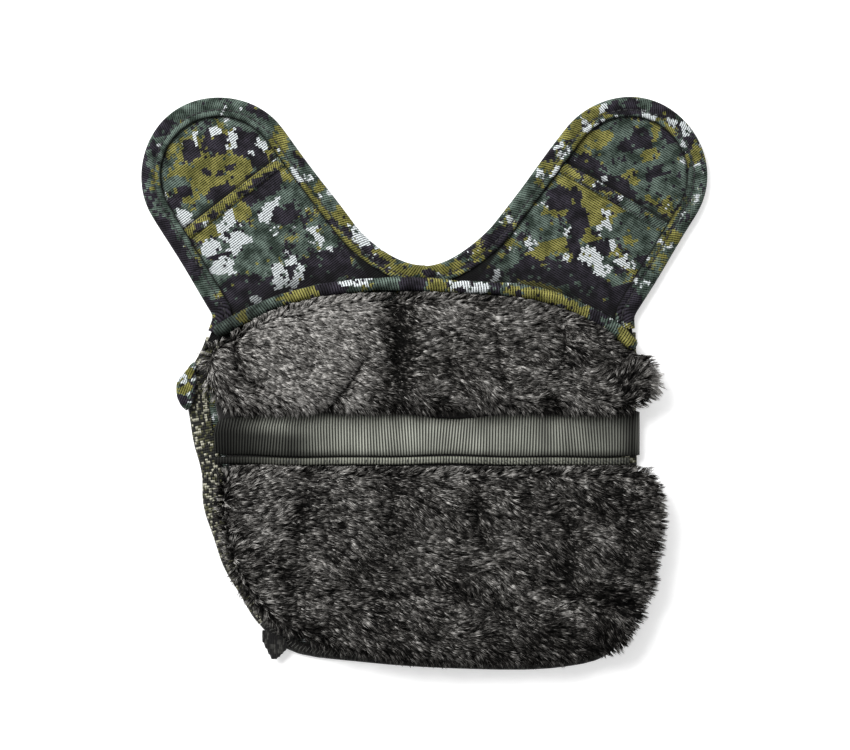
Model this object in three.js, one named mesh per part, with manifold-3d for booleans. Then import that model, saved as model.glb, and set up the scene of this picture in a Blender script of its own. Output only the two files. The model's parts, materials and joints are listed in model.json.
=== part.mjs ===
// Fur-lined cold-weather face mask, lying open on a table with its fur side up.
// Millimetres. +Z is up, +Y runs from the chin hem to the two cheek lobes, +X is to the right.
// The origin is under the middle of the mask, on the table.
import * as THREE from "three";
import { mergeVertices } from "three/addons/utils/BufferGeometryUtils.js";
import Module from "manifold-3d";

const wasm = await Module();
wasm.setup();

// ---- Driving dimensions --------------------------------------------------------------------

// Overall size of the shell
const HALF_WIDTH = 112; // at the jaw, the widest part of the lower shell
const HEM_Y = -143; // chin edge
const NECK_Y = 59; // bottom of the notch between the lobes

// Cloth stack, counted up from the table
const CLOTH = 0.8; // one layer of twill with its turnings
const CLEARANCE = 0.3; // between any two pieces that touch
const FLANGE = 0.9; // binding above and below the cloth
const WRAP = 1.5; // binding outside the cloth's edge
const WADDING = 3;
const PILE_UPPER = 14; // fur panels, pile included
const PILE_LOWER = 15;

// Lobes, each in a frame whose X runs along its fold line and Y towards its tip
const LOBE_HALF_WIDTH = 42; // at the fold line
const LOBE_LENGTH = 96; // fold line to the end of the tip
const TIP_RADIUS = 39.3;
const LOBE_ANGLE = 34.2; // degrees between the fold line and the X axis
const LOBE_SET_IN = 41.4; // from the half width at the jaw in to the middle of the fold line
const LOBE_X = HALF_WIDTH - LOBE_SET_IN;
const LOBE_Y = 57.3;
const MOUTH_V = 46; // pocket mouth, where the tip folds
const MOUTH_TILT = 3.5; // degrees; both mouths are sewn a little askew
const FOLD_GAP = 0.6; // between the pieces on either side of a fold
const HEM_STRIP_WIDTH = 6;
const HEM_STRIP_HEIGHT = 1.2;

// Edge bindings and tapes
const BINDING_WIDTH = 10;
const SIDE_TAPE_WIDTH = 11;
const CHIN_HEM_WIDTH = 6;

// Rolled top edge of the fur lining
const ROLL_WIDTH = 7;
const ROLL_HEIGHT = 7;

// Ribbed ribbon between the fur panels, and the stitched tape along its lower edge
const RIBBON_TOP_Y = -14.6;
const RIBBON_WIDTH = 22;
const RIBBON_THICKNESS = 4;
const RIBBON_END_THICKNESS = 2.4;
const STAY_TAPE_WIDTH = 3.6;
const STAY_TAPE_THICKNESS = 2;

// ---- Heights worked out from the stack -----------------------------------------------------

const BACK_Z = FLANGE + CLEARANCE;
const LINING_Z = BACK_Z + CLOTH + CLEARANCE;
const FRONT_Z = LINING_Z + CLOTH + CLEARANCE;
const SLOT_TOP = FRONT_Z + CLOTH + CLEARANCE;
const BINDING_TOP = SLOT_TOP + FLANGE;
const HEM_STRIP_Z = FRONT_Z + CLOTH + CLEARANCE;
const SIDE_SLOT_TOP = BACK_Z + CLOTH + CLEARANCE;
const SIDE_TAPE_TOP = SIDE_SLOT_TOP + FLANGE;
const WADDING_Z = BACK_Z + CLOTH + CLEARANCE;
const FUR_Z = Math.max(WADDING_Z + WADDING, SIDE_TAPE_TOP) + CLEARANCE;
const ROLL_Z = BINDING_TOP + CLEARANCE + ROLL_HEIGHT / 2;
const CLOTH_INSET = WRAP + CLEARANCE; // from an edge to the cloth inside its binding

// ---- Cloths and their colours --------------------------------------------------------------

const cloth = (color, roughness) => new THREE.MeshStandardMaterial({ color, roughness, metalness: 0 });
const CAMO = cloth(0x4b5444, 0.9);
const CAMO_BINDING = cloth(0x3f4a40, 0.88);
const FUR = cloth(0x46413c, 1);
const RIBBON = cloth(0x6c7064, 0.6);
const TAPE = cloth(0x3a3f33, 0.9);
const DARK_TRIM = cloth(0x1d1f1b, 0.95);
const FILLING = cloth(0xc9c7be, 1);

// ---- Helpers -------------------------------------------------------------------------------

const mask = new THREE.Group();

// A closed geometry as a solid that can be cut and joined.
function solid(geometry) {
  const bare = geometry.index ? geometry.toNonIndexed() : geometry;
  bare.deleteAttribute("normal");
  bare.deleteAttribute("uv");
  const merged = mergeVertices(bare, 1e-3);
  return new wasm.Manifold(
    new wasm.Mesh({
      numProp: 3,
      vertProperties: merged.attributes.position.array,
      triVerts: new Uint32Array(merged.index.array),
    }),
  );
}

function add(name, made, material, parent = mask) {
  const { numProp, numVert, vertProperties, triVerts } = made.getMesh();
  const positions = new Float32Array(numVert * 3);
  for (let i = 0; i < numVert; i++) {
    positions.set(vertProperties.subarray(i * numProp, i * numProp + 3), i * 3);
  }
  const geometry = new THREE.BufferGeometry();
  geometry.setAttribute("position", new THREE.BufferAttribute(positions, 3));
  geometry.setIndex(new THREE.BufferAttribute(new Uint32Array(triVerts), 1));
  geometry.computeVertexNormals();
  const piece = new THREE.Mesh(geometry, material);
  piece.name = name;
  parent.add(piece);
  return piece;
}

// A flat sheet of cloth with the outline of a shape.
function sheet(shape, bottom, thickness) {
  const geometry = new THREE.ExtrudeGeometry(shape, { depth: thickness, bevelEnabled: false });
  return solid(geometry.translate(0, 0, bottom));
}

// A soft pad whose edge is rounded over its whole height.
function pad(shape, bottom, height, edge) {
  const geometry = new THREE.ExtrudeGeometry(shape, {
    depth: height * 0.1,
    bevelThickness: height * 0.45,
    bevelSize: edge,
    bevelOffset: -edge,
    bevelSegments: 4,
  });
  return solid(geometry.translate(0, 0, bottom + height * 0.45));
}

// Everything on one side of the line v = at, in the frame of a lobe.
const FAR = 400;
function beyond(at, side = 1) {
  const box = new THREE.BoxGeometry(2 * FAR, FAR, FAR);
  return solid(box.translate(0, at + (side * FAR) / 2, 0));
}

// The folded section of a binding: a C that opens away from the edge. x is down and y is inwards.
function bindingSection(width, slotTop, top) {
  const round = top / 2;
  const section = new THREE.Shape();
  section.moveTo(0, width);
  section.lineTo(0, round);
  section.absarc(-round, round, round, 0, -Math.PI, true);
  section.lineTo(-top, width);
  section.lineTo(-slotTop, width);
  section.lineTo(-slotTop, WRAP);
  section.lineTo(-FLANGE, WRAP);
  section.lineTo(-FLANGE, width);
  return section;
}

// Folds a binding round an edge. The cloth is to the left of the direction of travel.
function bind(curve, steps, width, slotTop, top) {
  const geometry = new THREE.ExtrudeGeometry(bindingSection(width, slotTop, top), {
    steps,
    curveSegments: 6,
    extrudePath: curve,
  });
  return solid(geometry);
}

const point = ([x, y]) => new THREE.Vector3(x, y, 0);
const smooth = (points) => new THREE.CatmullRomCurve3(points.map(point), false, "centripetal");

// ---- Lobes ---------------------------------------------------------------------------------

// Half outline of a lobe, drawn in by inset: a straight side that runs tangent into the round tip.
const TIP_V = LOBE_LENGTH - TIP_RADIUS;
function lobeOutline(inset, from) {
  const radius = TIP_RADIUS - inset;
  const half = LOBE_HALF_WIDTH - inset;
  const lean = Math.acos(radius / Math.hypot(half, TIP_V)) - Math.atan2(TIP_V, half);
  const tangent = [radius * Math.cos(lean), TIP_V + radius * Math.sin(lean)];
  const slope = (half - tangent[0]) / tangent[1];
  return { radius, lean, tangent, base: [half - slope * from, from] };
}

function lobeShape(inset, from) {
  const { radius, lean, tangent, base } = lobeOutline(inset, from);
  const shape = new THREE.Shape();
  shape.moveTo(...base);
  shape.lineTo(...tangent);
  shape.absarc(0, TIP_V, radius, lean, Math.PI - lean, false);
  shape.lineTo(-base[0], base[1]);
  return shape;
}

// The edge of a lobe as a path with the cloth on its left.
function lobeEdge(from) {
  const { radius, lean, base } = lobeOutline(0, from);
  const path = new THREE.CurvePath();
  const arc = [];
  const ARC_STEPS = 24;
  for (let i = 0; i <= ARC_STEPS; i++) {
    const angle = lean + ((Math.PI - 2 * lean) * i) / ARC_STEPS;
    arc.push([radius * Math.cos(angle), TIP_V + radius * Math.sin(angle)]);
  }
  const points = [base, ...arc, [-base[0], base[1]]].map(point);
  points.slice(1).forEach((end, i) => path.add(new THREE.LineCurve3(points[i], end)));
  return path;
}

// The frame of a lobe: side -1 is the left lobe and 1 the right one.
function lobeFrame(side) {
  const frame = new THREE.Group();
  frame.position.set(side * LOBE_X, LOBE_Y, 0);
  frame.rotation.z = THREE.MathUtils.degToRad(-side * LOBE_ANGLE);
  mask.add(frame);
  return frame;
}

// A point of a lobe's frame in the frame of the mask.
function fromLobe(side, u, v) {
  const angle = THREE.MathUtils.degToRad(-side * LOBE_ANGLE);
  return [
    side * LOBE_X + u * Math.cos(angle) - v * Math.sin(angle),
    LOBE_Y + u * Math.sin(angle) + v * Math.cos(angle),
  ];
}

const BASE_START = FOLD_GAP / 2;
const MOUTH_LOW = MOUTH_V - FOLD_GAP / 2;
const MOUTH_HIGH = MOUTH_V + FOLD_GAP / 2;

function makeLobe(label, side) {
  const frame = lobeFrame(side);
  const askew = (made) => made.rotate([0, 0, MOUTH_TILT]);
  const tip = askew(beyond(MOUTH_HIGH));
  const base = beyond(BASE_START).intersect(askew(beyond(MOUTH_LOW, -1)));
  const cut = lobeShape(CLOTH_INSET, -BINDING_WIDTH);

  const back = sheet(cut, BACK_Z, CLOTH);
  const lining = sheet(cut, LINING_Z, CLOTH);
  const front = sheet(cut, FRONT_Z, CLOTH);
  const binding = bind(lobeEdge(-BINDING_WIDTH), 56, BINDING_WIDTH, SLOT_TOP, BINDING_TOP);
  const outer = solid(new THREE.BoxGeometry(FAR, 2 * FAR, FAR).translate((side * FAR) / 2, 0, 0));

  add(`${label}_lobe_back`, back.intersect(base), CAMO, frame);
  add(`${label}_pocket_lining`, lining.intersect(base), CAMO, frame);
  add(`${label}_lobe_front`, front.intersect(base), CAMO, frame);
  add(`${label}_outer_binding`, binding.intersect(base).intersect(outer), CAMO_BINDING, frame);
  add(`${label}_inner_binding`, binding.intersect(base).subtract(outer), CAMO_BINDING, frame);

  add(`${label}_tip_back`, back.intersect(tip), CAMO, frame);
  add(`${label}_tip_lining`, lining.intersect(tip), CAMO, frame);
  add(`${label}_tip_binding`, binding.intersect(tip), CAMO_BINDING, frame);

  // The turned hem of the pocket mouth lies on the front cloth, between the two bindings.
  const strip = new THREE.BoxGeometry(2 * LOBE_HALF_WIDTH, HEM_STRIP_WIDTH, HEM_STRIP_HEIGHT);
  strip.translate(0, MOUTH_LOW - HEM_STRIP_WIDTH / 2, HEM_STRIP_Z + HEM_STRIP_HEIGHT / 2);
  const betweenBindings = sheet(lobeShape(BINDING_WIDTH + CLEARANCE, 0), 0, FAR);
  add(`${label}_pocket_hem`, askew(solid(strip)).intersect(betweenBindings), CAMO_BINDING, frame);
}

makeLobe("left", -1);
makeLobe("right", 1);

// ---- Outlines of the body ------------------------------------------------------------------

// A point on the outer end of a fold line.
const outerFold = (side, inset) => fromLobe(side, side * (LOBE_HALF_WIDTH - inset), 0);

// Free edge of the shell, from the left fold line round the chin to the right one.
const shellEdge = smooth([
  outerFold(-1, 0),
  [-HALF_WIDTH + 1, 19],
  [-HALF_WIDTH - 5.5, 5],
  [-HALF_WIDTH - 7, -8],
  [-HALF_WIDTH - 4.5, RIBBON_TOP_Y - 9],
  [-HALF_WIDTH, RIBBON_TOP_Y - 29],
  [-HALF_WIDTH + 1.5, HEM_Y + 83],
  [-HALF_WIDTH + 6, HEM_Y + 66],
  [-HALF_WIDTH + 15, HEM_Y + 45],
  [-HALF_WIDTH + 29, HEM_Y + 23],
  [-HALF_WIDTH + 44, HEM_Y + 9.5],
  [-HALF_WIDTH + 80, HEM_Y + 3.5],
  [HALF_WIDTH - 92, HEM_Y],
  [HALF_WIDTH - 46, HEM_Y + 0.5],
  [HALF_WIDTH - 21, HEM_Y + 6.5],
  [HALF_WIDTH - 12, HEM_Y + 18],
  [HALF_WIDTH - 6, HEM_Y + 40],
  [HALF_WIDTH - 3, HEM_Y + 78],
  [HALF_WIDTH - 5.5, RIBBON_TOP_Y - RIBBON_WIDTH - 2],
  [HALF_WIDTH - 5.5, RIBBON_TOP_Y + 2],
  [HALF_WIDTH - 4, 0],
  [HALF_WIDTH - 5, 14],
  outerFold(1, 0),
]);

// Points of a curve, moved to its left by inset.
function insetPoints(curve, inset, steps = 16) {
  return curve.getPoints(steps).map((p, i) => {
    const t = curve.getTangent(i / steps);
    return [p.x - t.y * inset, p.y + t.x * inset];
  });
}

// The notch between the lobes, from the left fold line to the right one.
const NECK_FLAT = 0.418263; // flat run at the bottom, as a share of half the notch's width
function neckPoints(inset) {
  const half = LOBE_HALF_WIDTH - inset;
  const start = fromLobe(-1, half, 0);
  const drop = fromLobe(-1, half, -8);
  const flat = -NECK_FLAT * fromLobe(-1, LOBE_HALF_WIDTH, 0)[0];
  const left = new THREE.CubicBezierCurve(
    new THREE.Vector2(...start),
    new THREE.Vector2(...drop),
    new THREE.Vector2(-flat, NECK_Y - inset),
    new THREE.Vector2(0, NECK_Y - inset),
  );
  const points = left.getPoints(12).map((p) => [p.x, p.y]);
  const mirrored = points.slice(0, -1).reverse();
  return [...points, ...mirrored.map(([x, y]) => [-x, y])];
}

function polygon(points) {
  return new THREE.Shape(points.map(([x, y]) => new THREE.Vector2(x, y)));
}

// The outline of a layer of the body: inset from the free edge, and just inside the neck binding.
function bodyOutline(inset) {
  return polygon([
    ...insetPoints(shellEdge, inset, 80),
    outerFold(1, inset),
    ...neckPoints(CLOTH_INSET).reverse(),
    outerFold(-1, inset),
  ]);
}

function closed(points) {
  const curve = new THREE.CatmullRomCurve3(points.map(point), true, "centripetal");
  return new THREE.Shape(curve.getPoints(points.length * 4).map((p) => new THREE.Vector2(p.x, p.y)));
}

// The strip of the body that lies between the two fold lines.
const placeLobe = (made, side) =>
  made.rotate([0, 0, -side * LOBE_ANGLE]).translate([side * LOBE_X, LOBE_Y, 0]);
const foldLimits = placeLobe(beyond(-BASE_START, -1), -1).intersect(placeLobe(beyond(-BASE_START, -1), 1));

// ---- Shell, wadding and the notch between the lobes ------------------------------------------

add("outer_shell", sheet(bodyOutline(CLOTH_INSET), BACK_Z, CLOTH).intersect(foldLimits), CAMO);

// Centre line of the rolled top edge.
const roll = smooth([
  [-HALF_WIDTH + 7, 24.5],
  [-HALF_WIDTH + 44, 42.5],
  [-HALF_WIDTH + 87, 49],
  [HALF_WIDTH - 92, 48.3],
  [HALF_WIDTH - 52, 43.5],
  [HALF_WIDTH - 22, 31],
  [HALF_WIDTH - 6, 17.5],
]);

// The twill that shows between the roll and the notch is a facing on top of the shell.
const FACING_TUCK = 4; // how far the facing runs on below the roll's centre

// Everything on the notch side of the roll, from a line that lies below its centre.
function aboveRoll(below) {
  const edge = insetPoints(roll, -below, 48);
  const across = [[FAR, edge.at(-1)[1]], [FAR, FAR], [-FAR, FAR], [-FAR, edge[0][1]]];
  return sheet(polygon([...edge, ...across]), 0, FAR);
}

const facing = sheet(bodyOutline(SIDE_TAPE_WIDTH + CLEARANCE), LINING_Z, FRONT_Z + CLOTH - LINING_Z);
add("neck_facing", facing.intersect(aboveRoll(FACING_TUCK)).intersect(foldLimits), CAMO);

const NECK_LEAD = 6; // the path starts this far up the lobes and is cut at the fold lines
const neckEdge = new THREE.CatmullRomCurve3(
  [
    fromLobe(-1, LOBE_HALF_WIDTH, NECK_LEAD),
    ...neckPoints(0).filter((_, i) => i % 3 === 0),
    fromLobe(1, -LOBE_HALF_WIDTH, NECK_LEAD),
  ]
    .reverse()
    .map(point),
  false,
  "centripetal",
);
const neckBinding = bind(neckEdge, 36, BINDING_WIDTH, SLOT_TOP, BINDING_TOP);
add("neck_binding", neckBinding.intersect(foldLimits), CAMO_BINDING);

const WADDING_INSET = SIDE_TAPE_WIDTH + 3;
const wadding = sheet(bodyOutline(WADDING_INSET), WADDING_Z, WADDING).subtract(aboveRoll(FACING_TUCK + 4));
add("wadding", wadding, FILLING);

// ---- Fur lining ----------------------------------------------------------------------------

const FUR_EDGE = 5; // rounding of a panel's edge, seen from above
const FUR_OVERHANG = 10; // how far the pile stands out past the shell at the wearer's cheek
const STAY_TAPE_Y = RIBBON_TOP_Y - RIBBON_WIDTH - CLEARANCE;
const LOWER_TOP_Y = STAY_TAPE_Y - STAY_TAPE_WIDTH - CLEARANCE;
const furRight = HALF_WIDTH + FUR_OVERHANG - 3;
const ROLL_REACH = ROLL_WIDTH / 2 + CLEARANCE;
const furTop = insetPoints(roll, 0, 8);

const upperFur = closed([
  ...furTop.slice(1, -1).reverse(),
  [-HALF_WIDTH + 6, 22],
  [-HALF_WIDTH, 9],
  [-HALF_WIDTH + 3, -3],
  [-HALF_WIDTH + 12, RIBBON_TOP_Y + 3],
  [-HALF_WIDTH + 28, RIBBON_TOP_Y + 1.2],
  [0, RIBBON_TOP_Y + 1.2],
  [50, RIBBON_TOP_Y + 1.4],
  [HALF_WIDTH - 8, RIBBON_TOP_Y + 2.4],
  [furRight - 3, RIBBON_TOP_Y + 8],
  [furRight, 1],
  [furRight - 3, 9],
  [HALF_WIDTH - 5, 17],
]);
add("upper_fur_panel", pad(upperFur, FUR_Z, PILE_UPPER, FUR_EDGE).subtract(aboveRoll(ROLL_REACH)), FUR);

const lowerFur = closed([
  [-HALF_WIDTH + 11, LOWER_TOP_Y - 1.6],
  [-50, LOWER_TOP_Y - 0.9],
  [0, LOWER_TOP_Y - 0.7],
  [50, LOWER_TOP_Y - 0.9],
  [HALF_WIDTH - 4, LOWER_TOP_Y - 1.2],
  [furRight - 1, LOWER_TOP_Y - 8],
  [furRight + 1, HEM_Y + 82],
  [furRight - 2, HEM_Y + 50],
  [HALF_WIDTH - 3, HEM_Y + 27],
  [HALF_WIDTH - 14, HEM_Y + 12],
  [HALF_WIDTH - 46, HEM_Y + 6],
  [HALF_WIDTH - 92, HEM_Y + 5],
  [-HALF_WIDTH + 87, HEM_Y + 8],
  [-HALF_WIDTH + 62, HEM_Y + 13],
  [-HALF_WIDTH + 35, HEM_Y + 24],
  [-HALF_WIDTH + 20, HEM_Y + 39],
  [-HALF_WIDTH + 12, HEM_Y + 57],
  [-HALF_WIDTH + 7, HEM_Y + 84],
]);
add("lower_fur_panel", pad(lowerFur, FUR_Z, PILE_LOWER, FUR_EDGE), FUR);

// The roll is a flattened tube of the same camouflage twill, along the free edge of the fur.
const rollSection = new THREE.Shape();
rollSection.absellipse(0, 0, ROLL_HEIGHT / 2, ROLL_WIDTH / 2, 0, 2 * Math.PI, false, 0);
const rollPath = new THREE.CatmullRomCurve3(
  roll.points.map((p) => new THREE.Vector3(p.x, p.y, ROLL_Z)),
  false,
  "centripetal",
);
const rolled = new THREE.ExtrudeGeometry(rollSection, { steps: 48, curveSegments: 6, extrudePath: rollPath });
add("top_edge_roll", solid(rolled), CAMO_BINDING);

// ---- Ribbed ribbon and its tape --------------------------------------------------------------

// The ribbon runs across the wadding, and its right end turns down over the edge of the shell.
const ribbonY = RIBBON_TOP_Y - RIBBON_WIDTH / 2;
const ribbonLeft = -HALF_WIDTH + 6.5;
const besideRibbon = insetPoints(shellEdge, 0, 120).filter(
  ([, y]) => y < RIBBON_TOP_Y + 1 && y > RIBBON_TOP_Y - RIBBON_WIDTH - 1,
);
const ribbonRight = Math.max(...besideRibbon.map(([x]) => x)) + CLEARANCE;
const ribbonSection = new THREE.Shape();
ribbonSection.moveTo(0, RIBBON_WIDTH / 2);
ribbonSection.quadraticCurveTo(-RIBBON_THICKNESS * 2 + RIBBON_END_THICKNESS, 0, 0, -RIBBON_WIDTH / 2);
const ribbon = new THREE.ExtrudeGeometry(ribbonSection, {
  steps: 1,
  curveSegments: 8,
  extrudePath: new THREE.LineCurve3(
    new THREE.Vector3(ribbonLeft, ribbonY, FUR_Z),
    new THREE.Vector3(ribbonRight, ribbonY, FUR_Z),
  ),
});
const JOIN = 0.05; // overlap that joins the turned end to the flat run
const turnedTop = FUR_Z + RIBBON_END_THICKNESS;
const turnedEnd = new THREE.BoxGeometry(RIBBON_END_THICKNESS, RIBBON_WIDTH - 2, turnedTop - BACK_Z);
turnedEnd.translate(ribbonRight + RIBBON_END_THICKNESS / 2 - JOIN, ribbonY, (turnedTop + BACK_Z) / 2);
add("breathing_ribbon", solid(ribbon).add(solid(turnedEnd)), RIBBON);

const stayRight = ribbonRight - 4;
const stay = new THREE.BoxGeometry(stayRight - ribbonLeft, STAY_TAPE_WIDTH, STAY_TAPE_THICKNESS);
stay.translate(
  (ribbonLeft + stayRight) / 2,
  STAY_TAPE_Y - STAY_TAPE_WIDTH / 2,
  FUR_Z + STAY_TAPE_THICKNESS / 2,
);
add("ribbon_stay_tape", solid(stay), RIBBON);

// ---- Side tapes and chin hem ------------------------------------------------------------------

// One binding runs round the free edge; the chin hem is narrower and meets the side tapes end to end.
const CHIN_Y = HEM_Y + 22;
const edgeStrip = (width) => bind(shellEdge, 120, width, SIDE_SLOT_TOP, SIDE_TAPE_TOP);
const sides = edgeStrip(SIDE_TAPE_WIDTH).intersect(beyond(CHIN_Y)).intersect(foldLimits);
const leftHalf = solid(new THREE.BoxGeometry(FAR, 2 * FAR, FAR).translate(-FAR / 2, 0, 0));
add("left_side_tape", sides.intersect(leftHalf), TAPE);
add("right_side_tape", sides.subtract(leftHalf), TAPE);
add("chin_hem", edgeStrip(CHIN_HEM_WIDTH).intersect(beyond(CHIN_Y - CLEARANCE, -1)), DARK_TRIM);

// ---- Corner fold and chin tab -------------------------------------------------------------------

// The turned-over twill at the corner of the cheek lies on the side tape, beside the fur.
const CORNER_FOLD_HEIGHT = 4;
const cornerFold = closed([
  [-HALF_WIDTH - 12.5, -0.5],
  [-HALF_WIDTH - 11, -9],
  [-HALF_WIDTH - 7, -14],
  [-HALF_WIDTH - 3.5, -11],
  [-HALF_WIDTH - 1.5, -3],
  [-HALF_WIDTH - 1, 5],
  [-HALF_WIDTH - 2, 12],
  [-HALF_WIDTH - 7, 7],
]);
add("left_cheek_fold", sheet(cornerFold, SIDE_TAPE_TOP + CLEARANCE, CORNER_FOLD_HEIGHT), CAMO);

// A short end of folded webbing is stitched on top of the hem at the left corner of the chin.
const TAB_THICKNESS = 2;
const chinTab = polygon([
  [-HALF_WIDTH + 30, HEM_Y + 21],
  [-HALF_WIDTH + 30, HEM_Y + 14],
  [-HALF_WIDTH + 35.5, HEM_Y + 4],
  [-HALF_WIDTH + 40, HEM_Y + 5],
  [-HALF_WIDTH + 46, HEM_Y + 12],
  [-HALF_WIDTH + 42, HEM_Y + 17.5],
]);
add("chin_tab", sheet(chinTab, SIDE_TAPE_TOP + CLEARANCE, TAB_THICKNESS), DARK_TRIM);

export default mask;
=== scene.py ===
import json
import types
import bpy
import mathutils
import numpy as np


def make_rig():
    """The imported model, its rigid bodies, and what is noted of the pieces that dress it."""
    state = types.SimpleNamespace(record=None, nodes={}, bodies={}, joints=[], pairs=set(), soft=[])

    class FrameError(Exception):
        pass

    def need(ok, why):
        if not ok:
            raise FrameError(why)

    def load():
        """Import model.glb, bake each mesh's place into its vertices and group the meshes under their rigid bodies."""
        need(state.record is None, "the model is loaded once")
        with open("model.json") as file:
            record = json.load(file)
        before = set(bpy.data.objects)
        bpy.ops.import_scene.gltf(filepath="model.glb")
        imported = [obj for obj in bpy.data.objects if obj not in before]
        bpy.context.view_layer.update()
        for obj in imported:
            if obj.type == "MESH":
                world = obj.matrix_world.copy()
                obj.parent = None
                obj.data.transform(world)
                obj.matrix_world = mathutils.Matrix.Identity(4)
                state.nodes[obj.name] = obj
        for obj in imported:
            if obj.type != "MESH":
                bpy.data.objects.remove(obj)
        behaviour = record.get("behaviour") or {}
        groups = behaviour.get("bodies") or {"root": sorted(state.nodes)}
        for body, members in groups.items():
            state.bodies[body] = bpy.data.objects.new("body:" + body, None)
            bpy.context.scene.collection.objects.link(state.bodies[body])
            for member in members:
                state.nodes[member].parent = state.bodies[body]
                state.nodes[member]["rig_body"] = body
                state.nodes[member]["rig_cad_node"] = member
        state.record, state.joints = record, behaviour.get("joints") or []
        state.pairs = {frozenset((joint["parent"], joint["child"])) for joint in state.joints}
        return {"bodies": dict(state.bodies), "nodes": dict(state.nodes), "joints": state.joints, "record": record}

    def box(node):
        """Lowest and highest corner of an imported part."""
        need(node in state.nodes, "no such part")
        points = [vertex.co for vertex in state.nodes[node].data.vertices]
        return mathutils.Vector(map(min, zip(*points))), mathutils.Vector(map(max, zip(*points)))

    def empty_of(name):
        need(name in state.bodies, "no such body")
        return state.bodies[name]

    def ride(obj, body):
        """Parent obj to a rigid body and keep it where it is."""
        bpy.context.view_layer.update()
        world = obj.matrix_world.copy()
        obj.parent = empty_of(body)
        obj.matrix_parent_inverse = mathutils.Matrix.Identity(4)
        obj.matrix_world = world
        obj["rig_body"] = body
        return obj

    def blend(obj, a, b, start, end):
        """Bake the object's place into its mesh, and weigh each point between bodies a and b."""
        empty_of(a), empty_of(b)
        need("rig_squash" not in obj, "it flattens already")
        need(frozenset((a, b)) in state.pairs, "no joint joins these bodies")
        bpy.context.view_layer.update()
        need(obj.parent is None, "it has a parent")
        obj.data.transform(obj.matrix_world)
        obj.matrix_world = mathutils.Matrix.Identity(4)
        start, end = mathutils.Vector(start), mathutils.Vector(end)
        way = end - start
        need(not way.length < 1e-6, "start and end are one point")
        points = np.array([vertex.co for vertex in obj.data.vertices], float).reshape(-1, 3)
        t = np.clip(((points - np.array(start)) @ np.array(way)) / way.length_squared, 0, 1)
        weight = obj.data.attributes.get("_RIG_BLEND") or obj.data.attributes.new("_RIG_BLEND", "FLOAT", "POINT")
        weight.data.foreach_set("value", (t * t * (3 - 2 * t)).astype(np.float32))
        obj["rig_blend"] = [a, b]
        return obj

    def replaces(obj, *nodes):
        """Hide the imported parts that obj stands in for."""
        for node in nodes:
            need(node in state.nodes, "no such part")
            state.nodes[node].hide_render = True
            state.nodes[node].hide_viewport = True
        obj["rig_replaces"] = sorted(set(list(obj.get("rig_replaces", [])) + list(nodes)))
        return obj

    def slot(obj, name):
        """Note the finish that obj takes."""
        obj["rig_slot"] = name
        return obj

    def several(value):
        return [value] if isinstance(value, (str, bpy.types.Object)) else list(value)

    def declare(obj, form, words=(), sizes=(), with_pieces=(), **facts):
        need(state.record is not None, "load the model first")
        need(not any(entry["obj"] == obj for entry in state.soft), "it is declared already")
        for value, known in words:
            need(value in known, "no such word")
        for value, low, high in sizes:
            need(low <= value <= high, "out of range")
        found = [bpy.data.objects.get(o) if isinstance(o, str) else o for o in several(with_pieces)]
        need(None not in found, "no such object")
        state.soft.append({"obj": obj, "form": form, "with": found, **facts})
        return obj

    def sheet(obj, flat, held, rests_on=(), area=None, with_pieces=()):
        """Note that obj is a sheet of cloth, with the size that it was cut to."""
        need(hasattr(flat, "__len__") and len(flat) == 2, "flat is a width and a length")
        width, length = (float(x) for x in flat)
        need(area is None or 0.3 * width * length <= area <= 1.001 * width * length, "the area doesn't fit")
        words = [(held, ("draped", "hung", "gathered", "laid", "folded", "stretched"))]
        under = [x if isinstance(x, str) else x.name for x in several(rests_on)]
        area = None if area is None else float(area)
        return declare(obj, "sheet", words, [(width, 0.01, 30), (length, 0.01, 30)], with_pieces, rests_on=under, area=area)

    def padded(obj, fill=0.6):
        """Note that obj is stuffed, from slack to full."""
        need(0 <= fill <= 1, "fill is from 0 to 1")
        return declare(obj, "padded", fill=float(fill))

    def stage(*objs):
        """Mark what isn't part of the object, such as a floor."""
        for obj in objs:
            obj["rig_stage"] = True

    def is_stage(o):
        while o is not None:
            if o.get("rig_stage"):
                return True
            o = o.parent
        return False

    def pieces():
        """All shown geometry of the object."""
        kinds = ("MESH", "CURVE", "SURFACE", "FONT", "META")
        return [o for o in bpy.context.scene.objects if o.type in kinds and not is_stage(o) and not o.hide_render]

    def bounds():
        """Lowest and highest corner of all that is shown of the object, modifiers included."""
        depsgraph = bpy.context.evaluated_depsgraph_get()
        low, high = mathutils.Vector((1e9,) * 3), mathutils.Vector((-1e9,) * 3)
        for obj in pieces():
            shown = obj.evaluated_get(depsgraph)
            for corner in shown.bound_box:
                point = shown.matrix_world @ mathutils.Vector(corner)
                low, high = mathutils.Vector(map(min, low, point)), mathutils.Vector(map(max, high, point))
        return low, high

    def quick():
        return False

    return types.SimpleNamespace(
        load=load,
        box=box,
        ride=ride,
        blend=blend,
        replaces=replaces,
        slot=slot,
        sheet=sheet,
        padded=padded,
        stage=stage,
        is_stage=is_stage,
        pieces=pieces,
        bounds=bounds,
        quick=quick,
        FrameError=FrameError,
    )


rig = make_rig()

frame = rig.load()

import json
import math

import bmesh
import bpy
import numpy as np
from mathutils import Vector, kdtree

cad_size = [list(corner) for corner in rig.bounds()]
bpy.ops.object.select_all(action="DESELECT")

# ---- Outer shell ----------------------------------------------------------------------------
# One layer of camouflage cotton twill from the chin to the two lobes, the mask's outside.
# It lies face down on the table here and is sewn to the lining only along its bound edge.

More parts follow.
